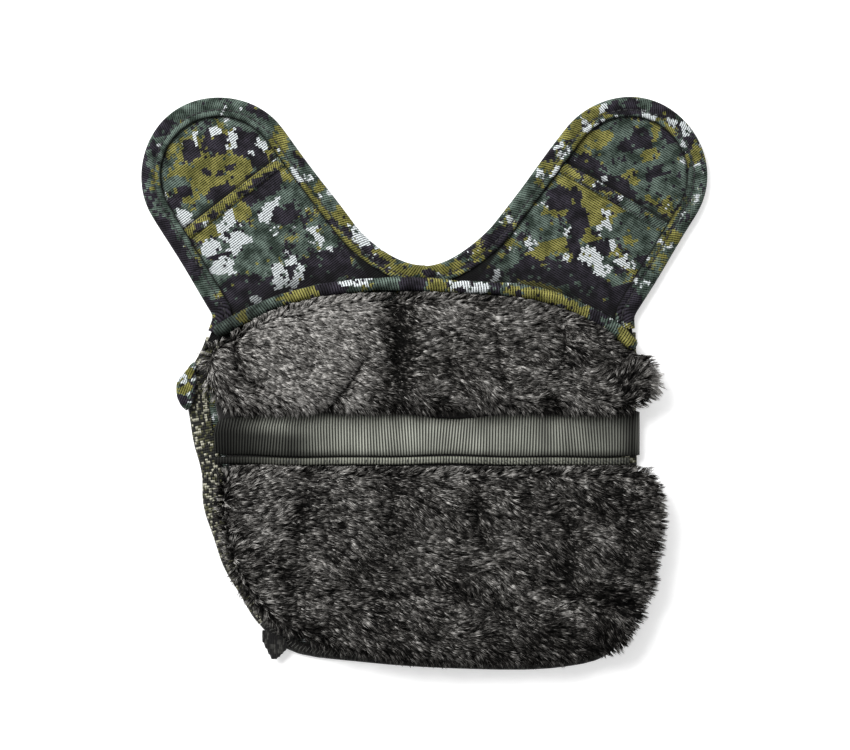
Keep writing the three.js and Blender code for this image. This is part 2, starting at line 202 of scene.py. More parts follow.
MM = 0.001
CLOTH = 0.8
CLOTH_INSET = 1.8  # from an edge of the mask to the cloth inside its binding
LOBE_SPLIT = -8  # the lobe's own cloths start this far below a fold line
SHELL_TOP = 2.0
ON_FOLD = -0.45  # points higher than this above a fold line are its ends
CHEEK_X = 90  # the outer ends of the fold lines are further out than this
NOTCH_X = 60  # their inner ends are nearer the middle than this
CHIN_CORNERS = ((-80, -122), (97, -128))


class Link:
    """A shader socket that can be added, subtracted, multiplied, divided and compared."""

    def __init__(self, tree, socket):
        self.tree, self.socket = tree, socket

    def node(self, kind, settings, sockets, output=0):
        made = self.tree.nodes.new(kind)
        for key, value in settings.items():
            setattr(made, key, value)
        for key, value in sockets.items():
            if isinstance(value, Link):
                self.tree.links.new(value.socket, made.inputs[key])
            else:
                made.inputs[key].default_value = value
        return Link(self.tree, made.outputs[output])

    def math(self, operation, first, second=0.0, clamp=False):
        settings = {"operation": operation, "use_clamp": clamp}
        return self.node("ShaderNodeMath", settings, {0: first, 1: second})

    def __add__(self, other):
        return self.math("ADD", self, other)

    def __sub__(self, other):
        return self.math("SUBTRACT", self, other)

    def __rsub__(self, other):
        return self.math("SUBTRACT", other, self)

    def __mul__(self, other):
        return self.math("MULTIPLY", self, other)

    def __truediv__(self, other):
        return self.math("DIVIDE", self, other)

    __radd__, __rmul__ = __add__, __mul__

    def sharp(self, threshold, softness=0.03):
        """0 below the threshold and 1 above it, with a soft step between."""
        return self.math("MULTIPLY", self - (threshold - softness / 2), 1 / softness, clamp=True)

    def moved(self, operation, other):
        return self.node("ShaderNodeVectorMath", {"operation": operation}, {0: self, 1: other})

    def scaled(self, factor):
        return self.node("ShaderNodeVectorMath", {"operation": "SCALE"}, {0: self, "Scale": factor})

    def parts(self):
        apart = self.node("ShaderNodeSeparateXYZ", {}, {0: self}).socket.node
        return [Link(self.tree, out) for out in apart.outputs]

    def wave(self, pitch):
        """A smooth wave from 0 to 1 along this value, one for each pitch."""
        return self.math("SINE", self * (2 * math.pi / pitch)) * 0.5 + 0.5

    def noise(self, scale, detail=1.0, output=0):
        sockets = {"Vector": self, "Scale": scale, "Detail": detail}
        return self.node("ShaderNodeTexNoise", {"noise_dimensions": "2D"}, sockets, output)

    def mix(self, first, second):
        """From the first colour to the second as this value goes from 0 to 1."""
        made = self.node("ShaderNodeMix", {"data_type": "RGBA"}, {"Factor": self}).socket.node
        for socket, value in ((made.inputs[6], first), (made.inputs[7], second)):
            if isinstance(value, Link):
                self.tree.links.new(value.socket, socket)
            else:
                socket.default_value = (*value, 1)
        return Link(self.tree, made.outputs[2])


def new_material(name, roughness, sheen=0.0):
    """A material, its shader, and a link to its piece's UV map in millimetres of flat cloth."""
    material = bpy.data.materials.new(name)
    material.use_nodes = True
    tree = material.node_tree
    shader = tree.nodes["Principled BSDF"]
    shader.inputs["Roughness"].default_value = roughness
    shader.inputs["Sheen Weight"].default_value = sheen
    shader.inputs["Specular IOR Level"].default_value = 0.25
    flat = tree.nodes.new("ShaderNodeUVMap")
    flat.uv_map = "UVMap"
    return material, shader, Link(tree, flat.outputs[0]).scaled(100)


def bumped(shader, height, strength, distance=0.0004):
    bump = height.node("ShaderNodeBump", {}, {"Height": height, "Strength": strength, "Distance": distance})
    bump.tree.links.new(bump.socket, shader.inputs["Normal"])


def painted(shader, colour):
    colour.tree.links.new(colour.socket, shader.inputs["Base Color"])


def camouflage(name, twill_turn, pitch, furrow, cell=1.7):
    """Printed twill: stepped blotches of four colours, and diagonal ribs of the weave whose furrows are painted darker
    as shade.
    The piece's own print attribute asks for mustard, dark and white, and its fourth value is painted shade, which
    darkens the colour towards black."""
    material, shader, flat = new_material(name, 0.9)
    shader.inputs["Specular IOR Level"].default_value = 0.12
    wobble = flat.noise(0.45, 2.0, 1).moved("SUBTRACT", (0.5, 0.5, 0.5)).scaled(2.6)
    grain = flat.moved("ADD", wobble).moved("SNAP", (cell, cell, cell))
    wanted = flat.node("ShaderNodeAttribute", {"attribute_name": "print"}, {}, 1)
    mustard, dark, white = wanted.parts()
    blotch = [grain.moved("ADD", (40.0 * i, 17.0 * i, 0)).noise(0.085 + 0.02 * i, 2.0) for i in range(3)]
    fine = flat.moved("ADD", (9.0, 3.0, 0)).moved("SNAP", (1.1, 1.1, 1.1)).noise(0.5, 0.0)
    tone = flat.noise(0.16, 3.0).sharp(0.5, 0.32)
    green = tone.mix((0.028, 0.042, 0.033), (0.125, 0.168, 0.142))
    ochre = tone.mix((0.115, 0.112, 0.030), (0.250, 0.235, 0.068))
    plum = tone.mix((0.010, 0.009, 0.012), (0.034, 0.030, 0.041))
    colour = (blotch[0] + mustard + fine * 0.3).sharp(0.75, 0.04).mix(green, ochre)
    colour = (blotch[1] + dark + fine * 0.3).sharp(0.75, 0.04).mix(colour, plum)
    colour = (blotch[2] + white + fine * 0.3).sharp(0.85, 0.04).mix(colour, (0.60, 0.64, 0.65))
    across, along, _ = flat.parts()
    turn = math.radians(twill_turn)
    rib = (across * -math.sin(turn) + along * math.cos(turn)) * (2 * math.pi / pitch)
    rib = rib.math("SINE", rib + flat.noise(0.8, 1.0) * 1.6) * 0.5 + 0.5
    yarn = (across * math.cos(turn) + along * math.sin(turn)) * (2 * math.pi / 1.3)
    yarn = yarn.math("SINE", yarn + rib * 2.0) * 0.5 + 0.5
    weave = rib * 0.8 + yarn * 0.2
    speck = flat.moved("SNAP", (0.9, 0.9, 0.9)).noise(2.3, 0.0)
    # Painted shade: the weave's furrows darken the colour towards black.
    shaded = (weave * furrow * 1.6 + speck * 0.5 + (0.62 - furrow)).mix((0, 0, 0), colour)
    # Painted shade: the print attribute's fourth value darkens the colour towards near black.
    shade = flat.node("ShaderNodeAttribute", {"attribute_name": "print"}, {}, 3)
    painted(shader, shade.mix((0.004, 0.004, 0.004), shaded))
    bumped(shader, weave, 0.7)
    return material


def rim(node):
    """Outline in plan of a flat CAD piece's top face: points in millimetres, anticlockwise."""
    shape = bmesh.new()
    shape.from_mesh(frame["nodes"][node].data)
    bmesh.ops.remove_doubles(shape, verts=shape.verts, dist=1e-6)
    shape.verts.index_update()
    top = max(v.co.z for v in shape.verts)
    following = {}
    for face in shape.faces:
        if all(abs(v.co.z - top) < 2e-6 for v in face.verts):
            for loop in face.loops:
                following[(loop.vert.index, loop.link_loop_next.vert.index)] = loop.vert.co.xy / MM
    border = {a: (b, at) for (a, b), at in following.items() if (b, a) not in following}
    start = here = next(iter(border))
    ring = []
    while not ring or here != start:
        ring.append(border[here][1])
        here = border[here][0]
    return np.array(ring)


def length_along(points):
    return np.concatenate([[0], np.cumsum(np.linalg.norm(np.diff(points, axis=0), axis=1))])


def follow(points, share):
    """Points at shares of a line's length, from 0 at its start to 1 at its end."""
    reach = length_along(points)
    at = np.asarray(share) * reach[-1]
    return np.column_stack([np.interp(at, reach, points[:, 0]), np.interp(at, reach, points[:, 1])])


def spread(bottom, right, top, left):
    """Fills four edges with cloth: bottom and top run left to right, left and right run upwards."""

    def place(u, v):
        low, high, near, far = follow(bottom, u), follow(top, u), follow(left, v), follow(right, v)
        u, v = u[:, None], v[:, None]
        low_corners = (1 - u) * bottom[0] + u * bottom[-1]
        high_corners = (1 - u) * top[0] + u * top[-1]
        corners = (1 - v) * low_corners + v * high_corners
        return (1 - v) * low + v * high + (1 - u) * near + u * far - corners

    return place


def places(piece):
    """The piece's points in millimetres."""
    at = np.empty(len(piece.data.vertices) * 3)
    piece.data.vertices.foreach_get("co", at)
    return at.reshape(-1, 3) / MM


def grid(name, columns, rows, place):
    """A grid primitive whose points go where place(u, v) says, in millimetres, for u and v from 0 to 1.
    place also gives the flat cloth's own coordinates, which become the UV map."""
    bpy.ops.mesh.primitive_grid_add(x_subdivisions=columns, y_subdivisions=rows, size=2)
    piece = bpy.context.object
    piece.name = piece.data.name = name
    flat = places(piece) * MM
    points, cloth = place((flat[:, 0] + 1) / 2, (flat[:, 1] + 1) / 2)
    mesh = piece.data
    mesh.vertices.foreach_set("co", (points * MM).ravel())
    corner = np.empty(len(mesh.loops), int)
    mesh.loops.foreach_get("vertex_index", corner)
    mesh.uv_layers[0].uv.foreach_set("vector", (cloth[corner] / 100).ravel())
    mesh.update()
    bpy.ops.object.shade_smooth()
    return piece


def solidify(piece, thickness, offset=-1):
    wall = piece.modifiers.new("thickness", "SOLIDIFY")
    wall.thickness = thickness * MM
    wall.offset = offset
    wall.use_quality_normals = True
    bpy.ops.object.modifier_apply(modifier=wall.name)


COLOURS = {"mustard": 0, "dark": 1, "white": 2, "green": 3}
PRINT_CELL = 1.45  # the print is built of small square steps
PRINT_TURN = np.array([[0.97, -0.25], [0.25, 0.97]])  # the steps lie a little askew
STRAYS = (("dark", 0, 0.03), ("green", 0.1, 0.13), ("mustard", 0.2, 0.207))  # shares of lone steps


def print_on(piece, blotches, shade=None):
    """Stores what colour of the print is wanted where: mustard, dark and white, from -1 to 1.
    A blotch is a colour, the middle, the two half widths and the turn in degrees."""
    at = places(piece)
    wanted = np.zeros((len(at), 4))
    cell = np.floor(at[:, :2] @ PRINT_TURN / PRINT_CELL)
    chance = (np.sin(cell @ (12.99, 78.23)) * 43758.5) % 1 - 0.5
    stepped = (cell + 0.5) * PRINT_CELL @ PRINT_TURN.T
    wander = np.sin(stepped[:, 0] / 1.9 + 2.1 * np.sin(stepped[:, 1] / 2.3))
    stray = 0.55 * wander + 1.5 * chance
    for colour, x, y, wide, high, turn in blotches:
        c, s = math.cos(math.radians(turn)), math.sin(math.radians(turn))
        dx, dy = stepped[:, 0] - x, stepped[:, 1] - y
        away = np.hypot((dx * c + dy * s) / wide, (-dx * s + dy * c) / high)
        size = math.sqrt(wide * high)
        inside = away + stray * min(0.5, 1.35 / size) < 1.12
        target = -np.ones(4)
        target[COLOURS[colour]] = 1
        wanted[inside] = target
    other = (np.sin(cell @ (39.35, 11.14)) * 24634.6) % 1
    for colour, low, high in STRAYS:
        lone = (other >= low) & (other < high)
        wanted[lone] = -1
        wanted[lone, COLOURS[colour]] = 1
    # The fourth value is painted shade, 1 where none is painted.
    wanted[:, 3] = 1 if shade is None else shade(at)
    layer = piece.data.attributes.new("print", "FLOAT_COLOR", "POINT")
    layer.data.foreach_set("color", wanted.astype(np.float32).ravel())


def dressed(piece, material, slot):
    piece.data.materials.clear()
    piece.data.materials.append(material)
    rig.slot(piece, slot)
    return piece


def joint_frame(name):
    """A fold's middle in millimetres, its direction, and the way across it to the moving cloth."""
    joint = next(j for j in frame["joints"] if j["name"] == name)
    line = np.array(joint["axis"][:2])
    return np.array(joint["pos_m"][:2]) / MM, line, np.array([-line[1], line[0]])


def fold_frame(side):
    """Where a lobe's fold line lies in plan: its middle, its direction, and the way to the tip."""
    return joint_frame(("left" if side < 0 else "right") + "_lobe_fold")


def in_lobe(side, points):
    middle, line, up = fold_frame(side)
    return np.column_stack([(points - middle) @ line, (points - middle) @ up])


def from_lobe(side, u, v):
    middle, line, up = fold_frame(side)
    return middle + np.outer(u, line) + np.outer(v, up)


def dense(points, step=0.5):
    count = int(length_along(points)[-1] / step)
    return follow(points, np.linspace(0, 1, count))


def below(points, height):
    """Which points lie lower than a height above both fold lines."""
    return (in_lobe(-1, points)[:, 1] < height) & (in_lobe(1, points)[:, 1] < height)


def nearest(points, spot):
    return np.argmin(np.linalg.norm(points - spot, axis=1))


# The shell's outline is split where it meets the fold lines: the free edge runs from the left
# lobe down round the chin to the right lobe, and the notch runs between the lobes.
ring = rim("outer_shell")
on_fold = ~below(ring, ON_FOLD)
leaves = on_fold & ~np.roll(on_fold, -1)
first = np.flatnonzero(leaves & (ring[:, 0] < -CHEEK_X))[0]
ring, on_fold, leaves = (np.roll(part, -first, axis=0) for part in (ring, on_fold, leaves))
free_end = np.flatnonzero(on_fold[1:])[0] + 1
free_edge = dense(ring[: free_end + 1])
notch_start = np.flatnonzero(leaves & (ring[:, 0] > 0) & (ring[:, 0] < NOTCH_X))[0]
notch_end = np.flatnonzero(on_fold[notch_start + 1 :])[0] + notch_start + 1
notch = dense(ring[notch_start : notch_end + 1])
shell_free = free_edge[below(free_edge, LOBE_SPLIT)]
shell_notch = notch[below(notch, LOBE_SPLIT)]
chin_left, chin_right = (nearest(shell_free, corner) for corner in CHIN_CORNERS)


def billow(at, amount):
    """Slow unevenness of cloth that lies loose."""
    x, y = at[:, 0], at[:, 1]
    return amount * (
        np.sin(x / 17 + 0.8 * np.sin(y / 23)) * np.cos(y / 21 + 0.6) * 0.5
        + 0.3 * np.sin(x / 7.3 + y / 11) + 0.2 * np.sin(y / 5.9 - x / 13)
    )


def body_cloth(u, v):
    chin, right = shell_free[chin_left : chin_right + 1], shell_free[chin_right:]
    left = shell_free[: chin_left + 1][::-1]
    top = np.vstack([shell_free[:1], shell_notch[::-1], shell_free[-1:]])
    flat = spread(chin, right, top, left)(u, v)
    border = np.clip(np.minimum(np.minimum(u, 1 - u), np.minimum(v, 1 - v)) * 12, 0, 1)
    height = SHELL_TOP - 0.3 * border + billow(flat, 0.5) * border
    return np.column_stack([flat, height]), flat


camo_cloth = camouflage("camouflage_twill", 3, 1.05, 0.95)
shell = grid("outer_shell_cloth", 150, 120, body_cloth)
print_on(shell, [])
solidify(shell, CLOTH)
dressed(shell, camo_cloth, "camo_twill")
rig.ride(shell, "body")
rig.replaces(shell, "outer_shell")
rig.sheet(shell, flat=(0.24, 0.21), held="stretched", area=0.0385)

# ---- Wadding ----------------------------------------------------------------------------------
# A slab of polyester wadding between shell and lining, quilted nowhere and held by the edge
# tapes, painted near black as shade. Only its edge could ever be seen, so it is a plain soft slab with rounded
# corners.

PAD_STEP = 5  # millimetres between the points of a pad


def soft_copy(name, node, lower, shrink):
    """A copy of a CAD pad, its top lowered and its sides drawn in, remeshed even."""
    piece = frame["nodes"][node].copy()
    piece.data = piece.data.copy()
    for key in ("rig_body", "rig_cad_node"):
        del piece[key]
    piece.parent = None
    piece.name = piece.data.name = name
    bpy.context.scene.collection.objects.link(piece)
    bpy.ops.object.select_all(action="DESELECT")
    piece.select_set(True)
    bpy.context.view_layer.objects.active = piece
    bpy.ops.object.mode_set(mode="EDIT")
    bpy.ops.mesh.select_all(action="SELECT")
    bpy.ops.mesh.remove_doubles(threshold=1e-5)
    bpy.ops.object.mode_set(mode="OBJECT")
    at = places(piece)
    low, high = at[:, 2].min(), at[:, 2].max()
    middle = (at[:, :2].min(0) + at[:, :2].max(0)) / 2
    half = (at[:, :2].max(0) - at[:, :2].min(0)) / 2
    at[:, :2] = middle + (at[:, :2] - middle) * (half - np.array(shrink)) / half
    at[:, 2] = low + (at[:, 2] - low) * (high - lower - low) / (high - low)
    piece.data.vertices.foreach_set("co", (at * MM).ravel())
    even = piece.modifiers.new("even", "REMESH")
    even.mode = "VOXEL"
    even.voxel_size = PAD_STEP * MM if high - low > 5 else 1.5 * MM
    bpy.ops.object.modifier_apply(modifier=even.name)
    bpy.ops.object.shade_smooth()
    return piece


painted_shade_wadding, shader, flat = new_material("wadding", 1.0, 0.3)
cloudy = flat.node("ShaderNodeTexCoord", {}, {}, 3).scaled(1000).noise(0.9, 3.0)
# Painted shade: the wadding's colour is near black, so that where it shows it passes for shadow.
painted(shader, cloudy.mix((0.006, 0.006, 0.006), (0.016, 0.015, 0.014)))
bumped(shader, cloudy, 0.6, 0.001)
wadding = soft_copy("wadding_slab", "wadding", 0.1, 0.5)
dressed(wadding, painted_shade_wadding, "wadding")
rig.ride(wadding, "body")
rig.replaces(wadding, "wadding")
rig.padded(wadding, fill=0.3)

# ---- Side tapes and chin hem -------------------------------------------------------------------
# A woven tape, speckled cream, olive and black, folded round the shell's free edge and stitched
# through. Along the chin a narrower black overlocked hem closes the shell and the lining.

TAPE_TOP = 3.3
TAPE_ROW = 1.3
TAPE_SECTION = [(11, 0.4), (10.2, 0), (2.2, 0), (0.7, 0.5), (0, 1.6), (0.6, 2.8), (2, TAPE_TOP), (6, 3.45),
                (9.8, TAPE_TOP), (11, 2.6)]
HEM_SECTION = [(6, 0.4), (5, 0.05), (2, 0.05), (0.6, 0.6), (0, 1.7), (0.7, 2.9), (2, 3.4), (4.6, 3.4),
               (6, 2.7)]
TAPE_END = -6  # the tapes end this far below a fold line
OVERLOCK_IN = 3.4  # the chin's overlock stitches lie this far in from the hem's edge
OVERLOCK_TOP = 3.75


def sweep(path, side, section, ripple=None):
    """Carries a section along an edge. The cloth is to the path's left where side is 1, else its right.
    The section's points are a distance in from the edge and a height."""
    path = dense(path, 0.8)
    for _ in range(3):
        path[1:-1] = (path[:-2] + 2 * path[1:-1] + path[2:]) / 4
    way = np.gradient(path, axis=0)
    way /= np.linalg.norm(way, axis=1)[:, None]
    inward = side * np.column_stack([-way[:, 1], way[:, 0]])
    reach = length_along(path)
    profile = np.array(section, float)
    around = length_along(profile)

    def place(u, v):
        along, over = u * reach[-1], v * around[-1]
        s, z = np.interp(over, around, profile[:, 0]), np.interp(over, around, profile[:, 1])
        if ripple:
            s, z = ripple(along, s, z)
        at = np.column_stack([np.interp(along, reach, path[:, i]) for i in (0, 1)])
        way_in = np.column_stack([np.interp(along, reach, inward[:, i]) for i in (0, 1)])
        return np.column_stack([at + way_in * s[:, None], z]), np.column_stack([along, over])

    return place, reach[-1]


def bound(name, path, side, section, step, thickness, ripple=None, folds=26):
    """A folded strip along an edge, given its thickness inwards."""
    place, reach = sweep(path, side, section, ripple)
    piece = grid(name, max(int(reach / step), 8), folds, place)
    if side < 0:
        bpy.ops.object.mode_set(mode="EDIT")
        bpy.ops.mesh.select_all(action="SELECT")
        bpy.ops.mesh.flip_normals()
        bpy.ops.object.mode_set(mode="OBJECT")
    solidify(piece, thickness)
    return piece


def outset(points, distance, side=1):
    """A line moved away from the cloth, which is on its left where side is 1."""
    way = np.gradient(points, axis=0)
    way /= np.linalg.norm(way, axis=1)[:, None]
    return points - side * distance * np.column_stack([-way[:, 1], way[:, 0]])


def speckled(name, colours, row, column, roughness):
    """Woven checks whose threads change colour from one crossing to the next."""
    material, shader, flat = new_material(name, roughness, 0.1)
    cells = flat.moved("ADD", flat.noise(0.6, 1.0, 1).scaled(0.6)).moved("SNAP", (row, column, 1))
    chance = cells.node("ShaderNodeTexWhiteNoise", {"noise_dimensions": "2D"}, {"Vector": cells})
    colour = chance.sharp(0.55, 0.05).mix(colours[0], colours[1])
    colour = chance.sharp(0.8, 0.05).mix(colour, colours[2])
    along, across, _ = flat.parts()
    rows = along.wave(row)
    threads = (across + along * (0.8 * column / (2 * math.pi))).wave(column)
    weave = rows * 0.6 + threads * 0.4
    # Painted shade: the weave darkens the colour between the threads.
    painted(shader, (weave * 0.75 + 0.35).mix((0, 0, 0), colour))
    bumped(shader, weave, 0.9, 0.0006)
    return material


black, olive, cream = (0.012, 0.012, 0.010), (0.075, 0.075, 0.035), (0.42, 0.41, 0.32)
tape_weave = speckled("speckled_tape", (black, olive, cream), TAPE_ROW, 1.1, 0.9)
black, coal, grey = (0.006, 0.006, 0.006), (0.014, 0.014, 0.012), (0.05, 0.05, 0.045)
hem_weave = speckled("overlocked_hem", (black, coal, grey), 0.9, 2.4, 0.95)

tape_edge = outset(free_edge, CLOTH_INSET)
tape_edge = tape_edge[below(tape_edge, TAPE_END)]
chin_y = (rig.box("left_side_tape")[0].y + 0.0002) / MM
left_run = tape_edge[(tape_edge[:, 0] < 0) & (tape_edge[:, 1] > chin_y)]
right_run = tape_edge[(tape_edge[:, 0] > 0) & (tape_edge[:, 1] > chin_y)]
chin_run = tape_edge[tape_edge[:, 1] < chin_y]


def tape_ripple(along, s, z):
    rows = 0.12 * np.sin(along * 2 * math.pi / TAPE_ROW) * (z > 1.6)
    return s + 0.35 * np.sin(along / 5.1) * (s < 4), z + rows + 0.25 * np.sin(along / 8.7) * (z > 1.6)


for label, run in (("left", left_run), ("right", right_run)):
    tape = bound(f"{label}_woven_side_tape", run, 1, TAPE_SECTION, 0.4, 0.55, tape_ripple)
    dressed(tape, tape_weave, "side_tape")
    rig.ride(tape, "body")
    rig.replaces(tape, f"{label}_side_tape")


def hem_ripple(along, s, z):
    teeth = 0.3 * np.abs(np.sin(along * math.pi / 2.2)) * (z > 2)
    return s, z + teeth


def thread(name, dark, light, roughness, sheen=0.0):
    """Twisted sewing thread, uneven in colour."""
    material, shader, flat = new_material(name, roughness, sheen)
    twist = flat.node("ShaderNodeTexCoord", {}, {}, 3).scaled(1000).noise(3.0, 1.0)
    painted(shader, twist.mix(dark, light))
    return material


def stitches(name, line, material, width=0.55, length=2.3, pitch=3.2, lead=0.0, lean=0.0):
    """A row of stitches lying along a line of points in millimetres, each a short bead of thread."""
    bpy.ops.mesh.primitive_uv_sphere_add(segments=7, ring_count=5, radius=0.5)
    bead = bpy.context.object
    form = places(bead)[:, [2, 0, 1]] * MM * (length, width, width * 0.8)
    faces = [np.array(face.vertices) for face in bead.data.polygons]
    reach = length_along(line)
    middles = np.arange(pitch - lead % pitch, reach[-1] - length / 2, pitch)
    middles = middles[middles > length / 2]
    at = np.column_stack([np.interp(middles, reach, line[:, i]) for i in range(3)])
    ahead = np.column_stack([np.interp(middles + 0.4, reach, line[:, i]) for i in range(3)])
    way = (ahead - at) / np.linalg.norm(ahead - at, axis=1)[:, None]
    across = np.column_stack([-way[:, 1], way[:, 0], 0 * way[:, 0]])
    c, s = math.cos(math.radians(lean)), math.sin(math.radians(lean))
    way, across = way * c + across * s, across * c - way * s
    up = np.cross(way, across)
    points = sum(form[:, i : i + 1] * axis[:, None] for i, axis in enumerate((way, across, up)))
    points = (points + at[:, None]).reshape(-1, 3) * MM
    every = [(face + i * len(form)).tolist() for i in range(len(at)) for face in faces]
    mesh = bpy.data.meshes.new(name)
    mesh.from_pydata(points.tolist(), [], every)
    mesh.uv_layers.new(name="UVMap")
    bpy.data.objects.remove(bead)
    row = bpy.data.objects.new(name, mesh)
    bpy.context.scene.collection.objects.link(row)
    mesh.materials.append(material)
    mesh.polygons.foreach_set("use_smooth", np.ones(len(mesh.polygons), bool))
    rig.slot(row, "dark_trim")
    return row


hem = bound("overlocked_chin_hem", chin_run, 1, HEM_SECTION, 0.45, 0.5, hem_ripple)
dressed(hem, hem_weave, "dark_trim")
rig.ride(hem, "body")
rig.replaces(hem, "chin_hem")

grey_thread = thread("grey_thread", (0.03, 0.03, 0.028), (0.16, 0.16, 0.145), 0.8)
chin_line = outset(dense(chin_run, 0.8), -OVERLOCK_IN)
chin_line = np.column_stack([chin_line, np.full(len(chin_line), OVERLOCK_TOP)])
overlock = stitches("chin_overlock_stitches", chin_line, grey_thread, 0.45, 3.4, 1.9, lean=62)
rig.ride(overlock, "body")

# ---- Lobe cloths --------------------------------------------------------------------------------
# Each lobe is a pocket: a back cloth, a lining, and a front whose mouth is turned under in a
# welt. The same front cloth runs on round the notch as a facing and ends under the rolled edge.

LOBE_HALF_WIDTH = 42
LOBE_LENGTH = 96
TIP_RADIUS = 39.3
TIP_V = LOBE_LENGTH - TIP_RADIUS
MOUTH_V = 46
MOUTH_TILT = math.radians(3.5)
MID_V = 23  # where the fold's blend has ended and the tip's has not begun
FOLD_REACH = 5  # cloth on either side of a fold line that bends with it
TIP_FOLD_REACH = 4
LINING_LOW = 14  # the lining starts this far above the fold line, inside the pocket
TUCK = 3.0  # the front cloth runs on this far under the roll
LINING_TOP = 3.1
FRONT_TOP = 4.2
PUFF = {-1: 1.2, 1: 3.6}  # how far each pocket mouth stands open
ROLL_SHADOW = {-1: 15, 1: 19}  # how far the shadow reaches up from the roll
MOUTH_SHADOW = {-1: 1.2, 1: 2.2}
ROLL_LINE = [(-105, 24.5), (-68, 42.5), (-25, 49), (20, 48.3), (60, 43.5), (90, 31), (106, 17.5)]


def rounded(points, steps=12):
    """A smooth line through given points."""
    points = np.array(points, float)
    ends = np.vstack([2 * points[0] - points[1], points, 2 * points[-1] - points[-2]])
    t = np.linspace(0, 1, steps, endpoint=False)[:, None]
    line = []
    for a, b, c, d in zip(ends, ends[1:], ends[2:], ends[3:]):
        bend, twist = 2 * a - 5 * b + 4 * c - d, 3 * b - a - 3 * c + d
        line.append(0.5 * (2 * b + (c - a) * t + bend * t**2 + twist * t**3))
    return np.vstack([*line, points[-1:]])


roll_line = rounded(ROLL_LINE, 24)


def lobe_side(inset):
    """Half width at the fold line, taper, and where the straight side meets the round tip."""
    radius, half = TIP_RADIUS - inset, LOBE_HALF_WIDTH - inset
    lean = math.acos(radius / math.hypot(half, TIP_V)) - math.atan2(TIP_V, half)
    meets = (radius * math.cos(lean), TIP_V + radius * math.sin(lean))
    return radius, half, (half - meets[0]) / meets[1], lean


def lobe_width(v, inset):
    _, half, taper, _ = lobe_side(inset)
    return half - taper * v


def tip_arc(inset, start, end, count=40):
    """Points of the round tip in the lobe's own frame, between two angles in degrees."""
    turn = np.radians(np.linspace(start, end, count))
    radius = TIP_RADIUS - inset
    return np.column_stack([radius * np.cos(turn), TIP_V + radius * np.sin(turn)])


def mouth_height(u):
    return (MOUTH_V + u * math.sin(MOUTH_TILT)) / math.cos(MOUTH_TILT)


def tip_patch(low_left, low_right, inset):
    """Edges of a tip's cloth, in the lobe's frame, from a line between its two sides."""
    lean = math.degrees(lobe_side(inset)[3])
    left = np.vstack([[low_left], tip_arc(inset, 180 - lean, 135)])
    right = np.vstack([[low_right], tip_arc(inset, lean, 45)])
    return spread(np.array([low_left, low_right]), right, tip_arc(inset, 135, 45), left)


def smooth_step(t):
    t = np.clip(t, 0, 1)
    return t * t * (3 - 2 * t)


def front_height(side, uv):
    """Top of the front cloth: drawn down at the bindings, puffed at the pocket's mouth."""
    u, v = uv[:, 0], uv[:, 1]
    edge = np.clip((lobe_width(v, 10) - np.abs(u)) / 9, -0.5, 1)
    near_mouth = smooth_step(1 - (mouth_height(u) - v) / 30)
    near_mouth *= smooth_step((lobe_width(v, 10) - np.abs(u)) / 22)
    drag = 0.4 * np.sin((v * 0.9 + u * 0.25 * side) / 4.3) * np.clip(edge, 0, 1)
    drag *= smooth_step((v + 8) / 10) * smooth_step((32 - v) / 24)
    return FRONT_TOP - 0.55 * (1 - smooth_step(edge)) + PUFF[side] * near_mouth + drag


left_print = [
    ("mustard", -107, 108, 21, 15, 34), ("dark", -104.7, 121, 6, 6, 0), ("dark", -89, 119.5, 8, 6, -30),
    ("dark", -82.7, 113.5, 4, 4, 0), ("dark", -117, 117, 4, 5, 20), ("dark", -109, 105.7, 2.2, 1.6, 0),
    ("dark", -102.6, 106, 1.8, 1.5, 0), ("dark", -97.5, 108, 2.8, 1.6, 30),
    ("green", -123.5, 100.4, 6, 3.5, 0), ("dark", -120, 96.5, 5, 2, -10),
    ("dark", -101.5, 94.8, 7, 4.5, 20), ("green", -110.8, 88.4, 3.2, 4, 0), ("dark", -125, 91.5, 4, 4, 0),
    ("white", -115.2, 123.6, 1.2, 3, 0), ("white", -104, 127, 2.2, 2.2, 0),
    ("white", -95.7, 122.4, 1.8, 3.4, 0), ("white", -98.2, 118.2, 1.2, 1.2, 0),
    ("white", -81.9, 120.5, 2.6, 2.4, -30), ("white", -86.4, 115.8, 1.2, 1.2, 0),
    ("white", -121.5, 83.5, 4.5, 3.6, -20), ("dark", -84, 104, 4, 2.4, 30), ("green", -70, 92, 13, 8, 0),
    ("dark", -82, 98, 12, 5, 30), ("dark", -71, 85, 7, 5, 0), ("green", -88, 66, 15, 11, 0),
    ("dark", -100, 96, 3, 1.5, 30), ("mustard", -93, 86, 5, 3.6, 30), ("mustard", -108, 75.2, 7, 3.6, 34),
    ("white", -99.3, 80.6, 3.4, 5.5, -35), ("white", -94, 72.5, 6.5, 3, -10), ("white", -96, 67, 3, 3, 0),
    ("dark", -98.6, 74.4, 1.5, 1.3, 0), ("white", -106.5, 68, 4.5, 4.5, 0),
    ("dark", -103, 63.6, 6, 1.5, 15), ("white", -100.6, 58.5, 5.5, 4.5, 0),
    ("white", -79.3, 84.6, 2.6, 4.2, -20), ("white", -75, 90, 4, 1.7, 30),
    ("white", -57, 77.5, 3.5, 1.7, -20), ("white", -53, 72.5, 1.7, 3.5, 30),
    ("white", -47.5, 65, 4.5, 2.2, 5), ("dark", -80, 44, 26, 6, 30), ("dark", -58, 55, 22, 8, 20),
    ("dark", -45, 60, 9, 5, -20), ("dark", -92, 48, 10, 6, 20), ("white", -72, 53, 4, 7, 10),
    ("white", -64, 53.5, 2.2, 5.5, -20), ("white", -66.5, 61, 3.2, 1.6, 20),
    ("dark", -70, 46.5, 1.8, 1.4, 0), ("white", -84, 41.5, 2.4, 2.2, 0), ("dark", -25, 53, 14, 4, -10),
    ("green", -20, 54, 5, 3, 0),
]
